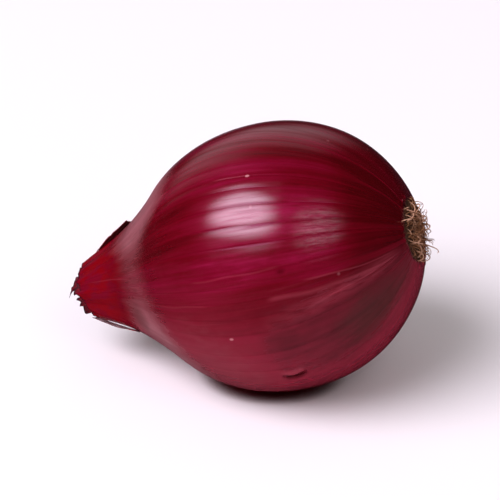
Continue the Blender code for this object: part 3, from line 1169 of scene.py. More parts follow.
@dataclass(frozen=True)
class RootFinish:
    """Dry root or cork: pale tan fibre with brown stretches and a dull, fibrous surface.

    Attributes:
        name: The material's name.
        light: The pale fibre.
        dark: The brown stretches.
        grain_per_metre: How fine the grain is.
        relief: How high the grain stands, in millimetres.
    """

    name: str
    light: Colour
    dark: Colour
    grain_per_metre: float
    relief: float

    def build(self, patterns: SkinPatterns) -> bpy.types.Material:
        """Make the material from the shared node groups."""
        wiring = FinishWiring(self.name, patterns)
        place = wiring.add("ShaderNodeTexCoord")
        noise = wiring.add("ShaderNodeTexNoise")
        wiring.feed(noise.inputs["Vector"], place.outputs["Object"])
        wiring.feed(noise.inputs["Scale"], self.grain_per_metre)
        wiring.feed(noise.inputs["Detail"], 5.0)
        wiring.feed(noise.inputs["Roughness"], 0.65)
        grain = noise.outputs["Fac"]
        darker, _, _ = wiring.marks()
        shade = wiring.plus(wiring.times(wiring.ramp(grain, 0.36, 0.64), 0.45), wiring.times(darker, 0.75))
        colour = wiring.mix(shade, opaque(self.light), opaque(self.dark))
        specks = wiring.specks(Per_Metre=2200.0, Size=0.35, Share=0.22)
        colour = wiring.tint(colour, wiring.times(specks, 0.6), self.dark)
        wiring.feed(wiring.shader.inputs["Base Color"], colour)
        wiring.feed(wiring.shader.inputs["Roughness"], wiring.ramp(grain, 0.3, 0.7, 0.62, 0.9))
        wiring.shader.inputs["Specular IOR Level"].default_value = 0.3
        wiring.emboss(wiring.times(grain, self.relief))
        return wiring.material


# ---------------------------------------------------------------------------------------------------
# The pieces
# ---------------------------------------------------------------------------------------------------


def hand_over(
    piece: bpy.types.Object, material: bpy.types.Material, nodes: Sequence[str]
) -> None:
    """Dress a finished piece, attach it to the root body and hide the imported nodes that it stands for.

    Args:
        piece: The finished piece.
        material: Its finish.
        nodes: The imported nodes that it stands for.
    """
    piece.data.materials.clear()
    piece.data.materials.append(material)
    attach(piece, "root")
    if nodes:
        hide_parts(*nodes)
    LOG.info("%s: %d faces", piece.name, len(piece.data.polygons))


@dataclass
class Bulb:
    """The bulb, drawn out into the neck, with its ribs, dents, torn mouth and ragged root lip.

    Attributes:
        form: The onion's form.
        ribs: Its ribs.
        segments: Faces round the bulb.
        neck_rows: Rows of faces along the neck.
        body_rows: Rows of faces along the bulb itself.
        mouth_depth: How deep the mouth of the neck is.
        wall: How thick the skin is at the mouth's edge.
        rib_height: The usual height of a rib.
        fold_height: The usual height of the neck's folds.
        dimple_radius: The radius of the dimple that the root plate lies in.
        dimple_depth: Its depth.
        lip_radius: The radius of the ragged opening in the skin over it.
    """

    form: OnionForm
    ribs: Ribs = field(default_factory=Ribs)
    segments: int = 540
    neck_rows: int = 54
    body_rows: int = 92
    mouth_depth: float = 4.0 * MM
    wall: float = 0.35 * MM
    rib_height: float = 0.085 * MM
    fold_height: float = 0.50 * MM
    dimple_radius: float = 7.4 * MM
    dimple_depth: float = 0.9 * MM
    lip_radius: float = 6.6 * MM

    def outline(self) -> np.ndarray:
        """Return the outline from the bottom of the neck's mouth to the middle of the root dimple."""
        form = self.form
        tip, tip_radius = form.neck_tip, form.neck_tip_radius
        floor = tip + self.mouth_depth
        inner = tip_radius - self.wall
        mouth_floor = [(floor + 0.6 * MM * (1.0 - s), 0.82 * inner * s) for s in np.linspace(0.0, 1.0, 6)]
        mouth_wall = []
        for share in np.linspace(0.08, 1.0, 12):
            mouth_wall.append((floor + (tip - floor) * share, (0.82 + 0.18 * share**0.7) * inner))
        neck = [(a, float(form.plain_radius(a))) for a in np.linspace(tip, form.neck_start, self.neck_rows)]
        first = math.acos(form.neck_start / form.neck_side)
        last = math.acos(form.root_rim / form.root_side)
        body = []
        for turn in np.linspace(first, last, self.body_rows)[1:]:
            half_length = form.root_side if math.cos(turn) > 0.0 else form.neck_side
            along = half_length * math.cos(turn)
            body.append((along, float(form.plain_radius(along))))
        rim_radius = body[-1][1]
        lip = []
        for share in np.linspace(0.0, 1.0, 9)[1:]:
            radius = rim_radius + (self.lip_radius - rim_radius) * share
            lip.append((form.root_rim + 0.55 * MM * math.sin(0.5 * math.pi * share), radius))
        dimple_floor = form.root_rim - self.dimple_depth
        under = [
            (lip[-1][0] - 0.25 * MM, self.lip_radius + 0.05 * MM),
            (form.root_rim - 0.1 * MM, self.dimple_radius),
            (dimple_floor, self.dimple_radius - 0.1 * MM),
            (dimple_floor, 0.5 * self.dimple_radius),
            (dimple_floor, 0.0),
        ]
        return np.array(mouth_floor + mouth_wall + neck + body + lip + under)

    def relief(self, along: np.ndarray, angle: np.ndarray) -> np.ndarray:
        """Return how far the skin stands out from its plain radius.

        Args:
            along: Places on the axis.
            angle: Angles round it.

        Returns:
            The height at each place, in metres.
        """
        form = self.form
        neck = form.neck_share(along)
        phase = self.ribs.phase(angle, along)
        number = np.minimum(phase.astype(int), self.ribs.count - 1)
        share = phase - number
        crown = (4.0 * share * (1.0 - share)) ** 1.15
        fade = 1.0 - smooth_step(along, 22 * MM, 29 * MM) * 0.7
        worn = 0.30 + 0.70 * bump(np.degrees(angle), 48.0, 44.0)
        ribs = self.rib_height * self.ribs.heights()[number] * crown * (1.0 - 0.5 * neck) * fade * worn
        lumps = 0.16 * MM * np.sin(3.0 * angle + 0.8) * np.cos(along / (17 * MM))
        lumps += 0.12 * MM * np.sin(5.0 * angle - along / (11 * MM))
        lumps += 0.10 * MM * np.sin(8.0 * angle + along / (8 * MM) + 2.0)
        twist = 5.0 * angle + along / (14 * MM)
        folds = np.sin(twist + 0.9 * np.sin(2.0 * angle + 1.0))
        folds += 0.45 * np.sin(11.0 * angle - along / (9 * MM))
        pleats = 0.08 * np.abs(np.sin(19.0 * angle + 2.0 * np.sin(3.0 * angle) + along / (12 * MM)))
        neck_relief = self.fold_height * (0.62 * folds - pleats) * neck
        return ribs + lumps * (1.0 - neck) * fade + neck_relief

    def creases(self, along: np.ndarray, angle: np.ndarray) -> tuple[np.ndarray, np.ndarray, np.ndarray]:
        """Return the height of the raised creases and the nick, with the nick's flake and its dent.

        Args:
            along: Places on the axis.
            angle: Angles round it.

        Returns:
            The height in metres, and two masks from 0 to 1 for the pale flake and the dent, whose dark is
            painted shade.
        """
        degrees = np.degrees(angle)
        ridge = bump(degrees, 71.0, 1.4) * smooth_step(along, -12 * MM, -8 * MM)
        ridge *= 1.0 - smooth_step(along, 8 * MM, 9 * MM)
        tick = bump(degrees, 72.5, 1.8) * bump(along, 8.6 * MM, 1.4 * MM)
        bow = 128.0 - 2.6 * ((along - 3.0 * MM) / (3.0 * MM)) ** 2
        reach = smooth_step(bump(along, 3.2 * MM, 3.6 * MM), 0.0, 0.6)
        dent_and_shade = (1.0 - smooth_step(np.abs(degrees - bow), 0.6, 2.8)) * reach
        flake = (1.0 - smooth_step(np.abs(degrees - bow + 3.8), 0.4, 2.6)) * reach
        height = 0.04 * MM * ridge - 0.10 * MM * tick - 0.40 * MM * dent_and_shade + 0.20 * MM * flake
        return height, flake, np.maximum(dent_and_shade, 0.8 * tick)

    def build(self) -> bpy.types.Object:
        """Model the bulb and return it in its place."""
        form = self.form
        piece = spun_piece("bulb_body", self.outline(), self.segments)
        local = get_points(piece)
        along, radius = local[:, 0], np.hypot(local[:, 1], local[:, 2])
        angle = np.arctan2(-local[:, 1], local[:, 2])
        turns = angle / TURN
        tip_share = smooth_step(-along, -form.neck_tip - 3.5 * MM, -form.neck_tip)
        rim_tear = TornEdge(seed=8, tears=36, depth=0.42 * MM, spikes=5, spike=-0.8 * MM)
        cut_back = 0.3 * MM + 0.85 * MM * bump(np.degrees(angle), 135.0, 62.0)
        moved_along = along + (rim_tear.offset(turns) + cut_back) * tip_share
        outer = np.clip(radius / np.maximum(form.plain_radius(along), 1e-6), 0.0, 1.0)
        crease, flake, dent_and_shade = self.creases(along, angle)
        height = self.relief(along, angle) * outer + crease * (outer > 0.95)
        lip_tear = TornEdge(seed=21, tears=84, depth=0.60 * MM, spikes=18, spike=-1.1 * MM)
        lip = (along > form.root_rim + 0.05 * MM) * smooth_step(-radius, -8.4 * MM, -self.lip_radius)
        moved_radius = radius + height * (radius > 0.1 * MM) - lip_tear.offset(turns) * lip
        set_points(piece, form.points(moved_along, moved_radius, angle))
        edge = smooth_step(-along, -form.neck_tip - 0.55 * MM, -form.neck_tip)
        edge = np.clip(edge + 0.7 * smooth_step(lip, 0.75, 1.0), 0.0, 1.0)
        keep_attribute(piece, "marks", edge, flake, dent_and_shade)
        map_loops(piece, "meridian", turns, along / CM, 1.0)
        map_loops(piece, "ribs", self.ribs.phase(angle, along), along / CM, float(self.ribs.count))
        finish_shape(piece, form.placement)
        resting = get_points(piece)
        resting[:, 2] = np.maximum(resting[:, 2], 0.0)
        set_points(piece, resting)
        return piece


@dataclass
class NeckScale:
    """A dry leaf base that stands in the mouth of the neck: a thin crumpled ring with a torn end.

    Attributes:
        form: The onion's form.
        name: The piece's name.
        start_radius: Its radius where it starts, down in the mouth.
        end_radius: Its radius at the torn end.
        length: How long it is.
        seed: The seed of its torn end and its crumples.
        tears: How many straight stretches the torn end has.
        tear_depth: How far that end wanders.
        turns_round: How often it is rolled round.
        wall: The skin's thickness.
        curl: How far its points turn aside.
        shreds: Single long shreds of the torn end.
    """

    form: OnionForm
    name: str
    start_radius: float
    end_radius: float
    length: float
    seed: int
    tears: int = 34
    tear_depth: float = 0.45 * MM
    turns_round: float = 1.0
    wall: float = 0.16 * MM
    curl: float = 0.35
    shreds: Sequence[tuple[float, float, float]] = ()

    def build(self) -> bpy.types.Object:
        """Model the scale and return it in its place."""
        form = self.form
        start = form.neck_tip + 3.6 * MM
        edge = TornEdge(
            self.seed, self.tears, self.tear_depth, spikes=4, spike=0.8 * MM, shreds=self.shreds
        )
        phase = float(self.seed)

        def lay(across: np.ndarray, up: np.ndarray) -> np.ndarray:
            """Lay the sheet over the crumpled ring."""
            end = start - self.length - edge.offset(across)
            along = start + (end - start) * up
            beyond = np.clip(start - self.length - 0.2 * MM - along, 0.0, None) / (1.5 * MM)
            angle = TURN * (self.turns_round * across - 0.5) + self.curl * beyond**2
            radius = self.start_radius + (self.end_radius - self.start_radius) * up**0.8
            radius = radius * (1.0 - 0.62 * across * (self.turns_round > 1.0))
            crumple = 0.34 * np.sin(4 * angle + phase) + 0.22 * np.sin(9 * angle + 2 * phase + 4.0 * up)
            crumple += 0.12 * np.sin(17 * angle + 7.0 * up)
            radius = radius + crumple * MM * (0.25 + 0.75 * up)
            return form.points(along, radius, angle)

        piece = grid_piece(self.name, 260, 26, lay)
        share = read_attribute(piece, "share")
        angle = TURN * (self.turns_round * share[:, 0] - 0.5)
        keep_attribute(piece, "marks", smooth_step(share[:, 1], 0.80, 1.0))
        along = start - self.length * share[:, 1]
        map_loops(piece, "meridian", np.mod(angle / TURN, 1.0), along / CM, 1.0)
        if self.turns_round == 1.0:
            merge_and_face_outwards(piece)
        give_wall(piece, self.wall, -1.0)
        finish_shape(piece, form.placement)
        return piece


@dataclass
class NeckFlap:
    """A loose strip of dry skin on the neck.

    Attributes:
        form: The onion's form.
        bulb: The bulb whose neck it lies on.
        name: The piece's name.
        start: The end towards the bulb, on the axis.
        end: The end towards the neck's tip.
        far_side: The angle of its side away from the viewer's, in degrees.
        near_side: The angle of its other side.
        lift: How far it stands off in the middle of its length.
        corner: How much further the corner towards the bulb stands off.
        held: The share of the lift that the far side keeps: 0 is held fast, 1 as loose as the near side.
        pale: How pale its inner side is, 0 to 1; on the lower flap this pale paints the light seen through
            the gap under it.
        seed: The seed of its torn edges.
        wall: The skin's thickness.
    """

    form: OnionForm
    bulb: Bulb
    name: str
    start: float
    end: float
    far_side: float
    near_side: float
    lift: float
    corner: float
    held: float
    pale: float
    seed: int
    wall: float = 0.13 * MM

    def build(self) -> bpy.types.Object:
        """Model the strip and return it in its place."""
        form = self.form
        side_edge = TornEdge(self.seed, 26, 0.06, spikes=3, spike=-0.18)
        end_edge = TornEdge(self.seed + 1, 22, 0.35 * MM, spikes=3, spike=0.6 * MM)
        span = self.near_side - self.far_side

        def lay(across: np.ndarray, up: np.ndarray) -> np.ndarray:
            """Lay the sheet over the neck's skin."""
            reach = across * (1.0 + side_edge.offset(0.8 * up) * across)
            angle = np.radians(self.far_side + span * reach)
            torn_start = end_edge.offset(0.4 * across) * (1.0 - up) ** 3
            torn_end = end_edge.offset(0.5 + 0.4 * across) * up**3
            along = self.start + (self.end - self.start) * up + torn_start - torn_end
            stand = self.lift * np.sin(math.pi * up) + self.corner * (1.0 - up) ** 3
            share = self.held + (1.0 - self.held) * reach**1.4
            wrinkle = 0.05 * MM * np.sin(5.0 * across + 11.0 * up + self.seed)
            skin = form.plain_radius(along) + self.bulb.relief(along, angle)
            radius = skin + 0.14 * MM + stand * share + wrinkle
            return form.points(along, radius, angle)

        piece = grid_piece(self.name, 48, 60, lay)
        share = read_attribute(piece, "share")
        rim = np.maximum(share[:, 0], np.maximum(share[:, 1], 1.0 - share[:, 1]))
        give_wall(piece, self.wall, 0.0)
        edge = np.tile(smooth_step(rim, 0.90, 1.0), 2) * (0.25 + 0.75 * self.pale)
        inside = np.repeat([0.0, self.pale], len(rim))
        keep_attribute(piece, "marks", edge, inside)
        turns = np.tile((self.far_side + span * share[:, 0]) / 360.0, 2)
        along = np.tile(self.start + (self.end - self.start) * share[:, 1], 2)
        map_loops(piece, "meridian", turns, along / CM, 1.0)
        finish_shape(piece, form.placement)
        return piece


@dataclass
class RootEnd:
    """The corky root plate in its dimple, the wiry dry roots on it and the felt between them.

    Attributes:
        form: The onion's form.
        plate_radius: The plate's radius.
        plate_base: Where the plate's underside is on the axis.
        edge_height: The plate's thickness at its edge.
        crown: How much thicker it is in the middle.
        root_count: How many main roots there are.
        felt_count: How many rootlets make the felt.
        bend_kept: The share of a root's bend that each step keeps.
        bend_drawn: How much of a new bend each step adds.
        bend_strength: How far the bend turns the root at each step.
        rise: How strongly the plate turns a root up.
        sink: How strongly the mat's height turns it down.
        turn_back: How strongly the mat's rim turns it back.
        seed: The seed of the roots.
    """

    form: OnionForm
    plate_radius: float = 6.8 * MM
    plate_base: float = 28.9 * MM
    edge_height: float = 0.9 * MM
    crown: float = 0.6 * MM
    root_count: int = 24
    felt_count: int = 170
    bend_kept: float = 0.90
    bend_drawn: float = 0.16
    bend_strength: float = 0.06
    rise: float = 0.32
    sink: float = 0.20
    turn_back: float = 0.22
    seed: int = 12

    def plate_top(self, radius: np.ndarray | float) -> np.ndarray:
        """Return where the plate's top, or the lip round it, is on the axis at a radius."""
        share = np.clip(np.asarray(radius, float) / self.plate_radius, 0.0, 1.0)
        plate = self.plate_base + self.edge_height + self.crown * (1.0 - share**2)
        return np.where(np.asarray(radius) > 9.0 * MM, plate - 0.9 * MM, plate)

    def build_plate(self) -> bpy.types.Object:
        """Model the plate: a low dome with knobbly root scars and an uneven edge."""
        base, edge = self.plate_base, self.plate_base + self.edge_height
        outline = [(base, 0.0), (base, 0.5 * self.plate_radius), (base, self.plate_radius - 0.2 * MM)]
        outline += [(base + 0.3 * MM, self.plate_radius), (edge - 0.1 * MM, self.plate_radius)]
        for radius in np.linspace(self.plate_radius - 0.1 * MM, 0.0, 40):
            outline.append((float(self.plate_top(radius)), float(radius)))
        piece = spun_piece("root_plate_cork", np.array(outline), 160)
        local = get_points(piece)
        radius = np.hypot(local[:, 1], local[:, 2])
        angle = np.arctan2(-local[:, 1], local[:, 2])
        top = smooth_step(local[:, 0], edge - 0.15 * MM, edge)
        knobs = np.sin(26 * angle + 9.0 * np.sin(radius / (1.1 * MM))) * np.sin(radius / (0.42 * MM))
        knobs += 0.7 * np.sin(9 * angle + radius / (0.7 * MM))
        local[:, 0] += 0.13 * MM * knobs * top * smooth_step(radius, 0.3 * MM, 1.5 * MM)
        shrink = 1.0 - 0.02 * (1.0 + np.sin(7 * angle + 1.0)) * smooth_step(radius, 4 * MM, 6 * MM)
        local[:, 1] *= shrink
        local[:, 2] *= shrink
        set_points(piece, local)
        keep_attribute(piece, "marks", 0.5 + 0.5 * np.sin(knobs))
        finish_shape(piece, self.form.placement)
        return piece

    def wander(
        self,
        draw: np.random.Generator,
        foot: np.ndarray,
        length: float,
        cap: float,
        reach: float,
        lean: float = 0.0,
    ) -> np.ndarray:
        """Let a root wander over the plate, kept in a low mat.

        Args:
            draw: The seeded draw.
            foot: Where the root leaves the plate.
            length: The root's length.
            cap: The mat's height over the middle of the plate.
            reach: How far from the axis the root may go.
            lean: How strongly the root sets out away from the axis.

        Returns:
            Rows of x, y, z along the root.
        """
        steps = max(7, int(length / (0.60 * MM)))
        step = length / steps
        heading = np.array([0.5, 0.0, -0.25]) + draw.normal(size=3) * np.array([0.1, 0.5, 0.9])
        heading += lean * np.array([0.0, foot[1], foot[2]]) / max(math.hypot(foot[1], foot[2]), 1.0 * MM)
        heading /= np.linalg.norm(heading)
        bend = draw.normal(size=3)
        place = foot.copy()
        path = [place.copy()]
        for _ in range(steps):
            bend = self.bend_kept * bend + self.bend_drawn * draw.normal(size=3)
            heading = heading + self.bend_strength * bend
            radius = math.hypot(place[1], place[2])
            above = place[0] - float(self.plate_top(radius))
            ceiling = cap * (1.0 - 0.45 * (radius / reach) ** 2)
            heading[0] += self.rise * max(0.0, 0.30 * MM - above) / (0.30 * MM)
            heading[0] -= self.sink * max(0.0, above - 0.5 * ceiling) / (0.5 * ceiling)
            if radius > 0.75 * reach:
                inward = -np.array([0.0, place[1], place[2]]) / radius
                heading = heading + self.turn_back * inward * (radius - 0.75 * reach) / (0.25 * reach)
            heading /= np.linalg.norm(heading)
            place = place + heading * step
            path.append(place.copy())
        return np.array(path)

    @staticmethod
    def strand(
        name: str, path: np.ndarray, thick: float, thin: float, sides: int, tone: float
    ) -> bpy.types.Object:
        """Model one root as a tube that tapers along a path, closed at both ends.

        Args:
            name: The piece's name.
            path: Rows of x, y, z.
            thick: The radius at the foot.
            thin: The radius at the tip.
            sides: Faces round the tube.
            tone: 0 for a pale root, 1 for a dark one.

        Returns:
            The root, about the onion's own axis.
        """
        stations = np.linspace(0.0, 1.0, len(path))
        rows = len(path) + (len(path) if sides > 5 else 0)
        tangents = np.gradient(path, axis=0)
        tangents /= np.linalg.norm(tangents, axis=1, keepdims=True)
        frames = np.zeros((len(path), 3))
        side = np.cross(tangents[0], [0.3, 0.5, 0.8])
        for index, tangent in enumerate(tangents):
            side = side - tangent * np.dot(side, tangent)
            side = side / np.linalg.norm(side)
            frames[index] = side

        def along_path(rows_of: np.ndarray, share: np.ndarray) -> np.ndarray:
            """Return the rows in force at each share of the path."""
            return np.stack([np.interp(share, stations, rows_of[:, axis]) for axis in range(3)], axis=-1)

        def lay(across: np.ndarray, up: np.ndarray) -> np.ndarray:
            """Lay the sheet round the path."""
            centre = along_path(path, up)
            tangent = along_path(tangents, up)
            first = along_path(frames, up)
            first = first - tangent * np.sum(first * tangent, axis=1, keepdims=True)
            first = first / np.linalg.norm(first, axis=1, keepdims=True)
            second = np.cross(tangent, first)
            angle = TURN * across
            girth = (thick + (thin - thick) * up**1.3) * (1.0 + 0.16 * np.sin(37.0 * up + 5.0 * tone))
            girth = girth * np.clip(np.minimum(up, 1.0 - up) * 2.0 * rows, 0.0, 1.0) ** 0.5
            spread = first * np.cos(angle)[:, None] + second * np.sin(angle)[:, None] * 0.85
            return centre + spread * girth[:, None]

        piece = grid_piece(name, sides, rows, lay)
        share = read_attribute(piece, "share")
        shade = np.clip(tone * (1.0 - 0.5 * share[:, 1]), 0.0, 1.0)
        keep_attribute(piece, "marks", shade, share[:, 1])
        merge_and_face_outwards(piece)
        return piece

    def build_roots(self) -> list[bpy.types.Object]:
        """Model the main roots, one for each packed root."""
        draw = np.random.default_rng(self.seed)
        pieces = []
        golden = math.pi * (3.0 - math.sqrt(5.0))
        for index in range(self.root_count):
            share = (index + 0.6) / self.root_count
            radius = 0.86 * self.plate_radius * math.sqrt(share)
            angle = golden * index
            top = float(self.plate_top(radius)) - 0.15 * MM
            foot = np.array([top, -radius * math.sin(angle), radius * math.cos(angle)])
            length = draw.uniform(4.5, 9.5) * MM
            cap = draw.uniform(0.9, 1.7) * MM if index % 6 else 2.6 * MM
            reach = draw.uniform(5.6, 7.0) * MM if index % 4 else 8.3 * MM
            path = self.wander(draw, foot, length, cap, reach, 0.0 if index % 4 else 1.0)
            thick = draw.uniform(0.10, 0.20) * MM
            name = f"dry_root_{index + 1:02d}"
            piece = self.strand(name, path, thick, 0.45 * thick, 9, draw.uniform(0.0, 0.9))
            finish_shape(piece, self.form.placement)
            pieces.append(piece)
        return pieces

    def build_felt(self) -> bpy.types.Object:
        """Model the felt of thin rootlets between the main roots as one piece."""
        draw = np.random.default_rng(self.seed + 7)
        strands = []
        for index in range(self.felt_count):
            radius = 0.90 * self.plate_radius * math.sqrt(draw.random())
            angle = TURN * draw.random()
            top = float(self.plate_top(radius)) - 0.1 * MM
            foot = np.array([top, -radius * math.sin(angle), radius * math.cos(angle)])
            length = draw.uniform(1.6, 4.5) * MM
            outer = index % 3 == 0 and radius > 0.6 * self.plate_radius
            reach = (draw.uniform(7.6, 8.9) if outer else draw.uniform(5.4, 7.0)) * MM
            path = self.wander(draw, foot, length, draw.uniform(0.6, 1.7) * MM, reach, 1.4 * outer)
            thick = draw.uniform(0.06, 0.15) * MM
            strands.append(self.strand(f"rootlet_{index}", path, thick, 0.4 * thick, 4, draw.random()))
        take_in_hand(strands[0])
        for strand in strands:
            strand.select_set(True)
        bpy.ops.object.join()
        felt = bpy.context.active_object
        felt.name = "rootlet_felt"
        finish_shape(felt, self.form.placement)
        return felt


# ---------------------------------------------------------------------------------------------------
# Studio
# ---------------------------------------------------------------------------------------------------


@dataclass(frozen=True)
class Lamp:
    """One soft light.

    Attributes:
        towards: The direction from the onion to the light.
        width: Its width.
        height: Its height.
        radiance: How bright its face is.
        colour: The colour of its light.
        turn: How far it is turned about its own axis, in degrees.
    """

    towards: tuple[float, float, float]
    width: float
    height: float
    radiance: float
    colour: Colour
    turn: float = 45.0


class Softbox(Enum):
    """The soft lights: the main one at the neck's side and a weak one at the roots' side."""

    KEY = Lamp((-0.450, -0.480, 0.753), 2.50, 2.50, 9.8, (1.0, 0.920, 1.03))
    SIDE = Lamp((0.48, -0.50, 0.72), 2.0, 1.8, 2.4, (1.0, 0.82, 0.88))


@dataclass
class Studio:
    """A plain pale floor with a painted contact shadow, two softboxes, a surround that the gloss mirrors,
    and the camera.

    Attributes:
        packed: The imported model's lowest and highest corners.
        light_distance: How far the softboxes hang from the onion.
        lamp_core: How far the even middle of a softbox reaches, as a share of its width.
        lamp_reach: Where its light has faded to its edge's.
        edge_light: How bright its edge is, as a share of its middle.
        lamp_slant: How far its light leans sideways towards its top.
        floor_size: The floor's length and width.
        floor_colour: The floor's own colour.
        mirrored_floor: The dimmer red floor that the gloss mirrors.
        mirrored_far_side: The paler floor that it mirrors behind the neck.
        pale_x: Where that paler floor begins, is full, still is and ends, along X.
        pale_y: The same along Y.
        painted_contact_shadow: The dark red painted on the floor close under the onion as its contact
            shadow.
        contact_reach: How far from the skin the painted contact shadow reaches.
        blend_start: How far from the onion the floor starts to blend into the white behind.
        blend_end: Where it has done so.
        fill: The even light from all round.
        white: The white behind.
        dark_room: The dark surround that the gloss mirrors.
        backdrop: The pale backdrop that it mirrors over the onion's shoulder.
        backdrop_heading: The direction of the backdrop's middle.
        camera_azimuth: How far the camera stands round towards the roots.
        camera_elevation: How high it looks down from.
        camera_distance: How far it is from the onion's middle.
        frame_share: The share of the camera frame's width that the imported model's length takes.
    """

    packed: tuple[Vector, Vector]
    light_distance: float = 2.5
    lamp_core: float = 0.19
    lamp_reach: float = 0.52
    edge_light: float = 0.02
    lamp_slant: float = 0.32
    floor_size: float = 8.0
    floor_colour: Colour = (0.86, 0.845, 0.850)
    mirrored_floor: Colour = (0.034, 0.009, 0.013)
    mirrored_far_side: Colour = (0.14, 0.105, 0.115)
    pale_x: tuple[float, float, float, float] = (-0.13, -0.07, -0.03, 0.02)
    pale_y: tuple[float, float, float, float] = (0.035, 0.10, 0.16, 0.34)
    painted_contact_shadow: Colour = (0.090, 0.003, 0.006)
    contact_reach: float = 4.0 * MM
    blend_start: float = 0.35
    blend_end: float = 1.20
    fill: Colour = (0.320, 0.315, 0.318)
    white: Colour = (0.97, 0.955, 0.965)
    dark_room: Colour = (0.034, 0.003, 0.006)
    backdrop: Colour = (0.580, 0.455, 0.500)
    backdrop_heading: tuple[float, float, float] = (-0.50, 0.866, 0.0)
    camera_azimuth: float = math.radians(13.5)
    camera_elevation: float = math.radians(28.0)
    camera_distance: float = 0.60
    frame_share: float = 0.745

    def build_floor(self) -> None:
        """Lay the pale floor, with a painted contact shadow under the onion, which the glossy skin mirrors
        dimmer than it is, and mark it as the stage.
        """
        deselect_all()
        bpy.ops.mesh.primitive_plane_add(size=self.floor_size, location=(0.0, 0.0, 0.0))
        floor = bpy.context.active_object
        floor.name = "studio_floor"
        material = bpy.data.materials.new("studio_floor")
        material.use_nodes = True
        wiring = Wiring(material.node_tree)
        shader = material.node_tree.nodes["Principled BSDF"]
        place = wiring.add("ShaderNodeTexCoord").outputs["Object"]
        x, y, _ = wiring.split(place)
        far_side = wiring.times(wiring.stretch(x, self.pale_x), wiring.stretch(y, self.pale_y))
        mirror_image = wiring.mix(far_side, opaque(self.mirrored_floor), opaque(self.mirrored_far_side))
        # Painted contact shadow: the floor turns dark red where the onion shelters it.
        sheltered = wiring.add("ShaderNodeAmbientOcclusion", samples=8)
        sheltered.inputs["Distance"].default_value = self.contact_reach
        open_share = wiring.ramp(sheltered.outputs["AO"], 0.26, 0.66)
        plain = wiring.mix(open_share, opaque(self.painted_contact_shadow), opaque(self.floor_colour))
        path = wiring.add("ShaderNodeLightPath")
        colour = wiring.mix(path.outputs["Is Glossy Ray"], plain, mirror_image)
        reach = wiring.add("ShaderNodeVectorMath", operation="LENGTH")
        wiring.feed(reach.inputs[0], place)
        blend = wiring.ramp(reach.outputs["Value"], self.blend_start, self.blend_end)
        blend = wiring.times(blend, path.outputs["Is Camera Ray"])
        wiring.feed(shader.inputs["Base Color"], wiring.tint(colour, blend, BLACK))
        wiring.feed(shader.inputs["Emission Color"], wiring.tint(opaque(BLACK), blend, self.white))
        shader.inputs["Emission Strength"].default_value = 1.0
        shader.inputs["Roughness"].default_value = 0.7
        shader.inputs["Specular IOR Level"].default_value = 0.0
        floor.data.materials.append(material)
        floor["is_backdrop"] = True

    def build_lights(self) -> None:
        """Hang the softboxes, each facing the onion."""
        for softbox in Softbox:
            lamp = softbox.value
            light = bpy.data.lights.new(f"softbox_{softbox.name.lower()}", "AREA")
            light.shape = "RECTANGLE"
            light.size = lamp.width
            light.size_y = lamp.height
            light.energy = lamp.radiance * math.pi * lamp.width * lamp.height
            light.color = lamp.colour
            self.fade_edges(light)
            stand = bpy.data.objects.new(light.name, light)
            bpy.context.collection.objects.link(stand)
            towards = Vector(lamp.towards).normalized()
            stand.location = towards * self.light_distance
            turn = Matrix.Rotation(math.radians(lamp.turn), 3, "Z")
            stand.rotation_euler = (towards.to_track_quat("Z", "Y").to_matrix() @ turn).to_euler()

    def fade_edges(self, light: bpy.types.Light) -> None:
        """Make a softbox brightest in its middle, as its lamp makes it."""
        light.use_nodes = True
        wiring = Wiring(light.node_tree)
        emission = light.node_tree.nodes["Emission"]
        across, up, _ = wiring.split(wiring.add("ShaderNodeNewGeometry").outputs["Parametric"])
        rise = wiring.minus(up, 0.5)
        aside = wiring.plus(wiring.minus(across, 0.5), wiring.times(rise, self.lamp_slant))
        away = wiring.add("ShaderNodeCombineXYZ")
        wiring.feed(away.inputs[0], aside)
        wiring.feed(away.inputs[1], rise)
        length = wiring.add("ShaderNodeVectorMath", operation="LENGTH")
        wiring.feed(length.inputs[0], away.outputs[0])
        shine = wiring.ramp(length.outputs["Value"], self.lamp_core, self.lamp_reach, 1.0, self.edge_light)
        wiring.feed(emission.inputs["Strength"], shine)

    def build_surround(self) -> None:
        """Make the surround: white behind, an even fill, and a backdrop that the skin mirrors."""
        world = bpy.data.worlds.new("surround")
        bpy.context.scene.world = world
        world.use_nodes = True
        wiring = Wiring(world.node_tree)
        background = world.node_tree.nodes["Background"]
        direction = wiring.add("ShaderNodeTexCoord").outputs["Generated"]
        _, _, rise = wiring.split(direction)
        flat = wiring.add("ShaderNodeVectorMath", operation="MULTIPLY")
        wiring.feed(flat.inputs[0], direction)
        flat.inputs[1].default_value = (1.0, 1.0, 0.0)
        heading = wiring.add("ShaderNodeVectorMath", operation="NORMALIZE")
        wiring.feed(heading.inputs[0], flat.outputs[0])
        facing = wiring.add("ShaderNodeVectorMath", operation="DOT_PRODUCT")
        wiring.feed(facing.inputs[0], heading.outputs[0])
        facing.inputs[1].default_value = self.backdrop_heading
        behind = wiring.ramp(facing.outputs["Value"], 0.72, 0.97)
        rising = wiring.ramp(rise, 0.02, 0.36, 0.04, 1.0)
        ending = wiring.ramp(rise, 0.42, 0.88, 1.0, 0.0)
        mirrored = wiring.tint(
            opaque(self.dark_room), wiring.times(wiring.times(behind, rising), ending), self.backdrop
        )
        path = wiring.add("ShaderNodeLightPath")
        seen = wiring.mix(path.outputs["Is Camera Ray"], opaque(self.fill), opaque(self.white))
        wiring.feed(background.inputs["Color"], wiring.mix(path.outputs["Is Glossy Ray"], seen, mirrored))
        background.inputs["Strength"].default_value = 1.0

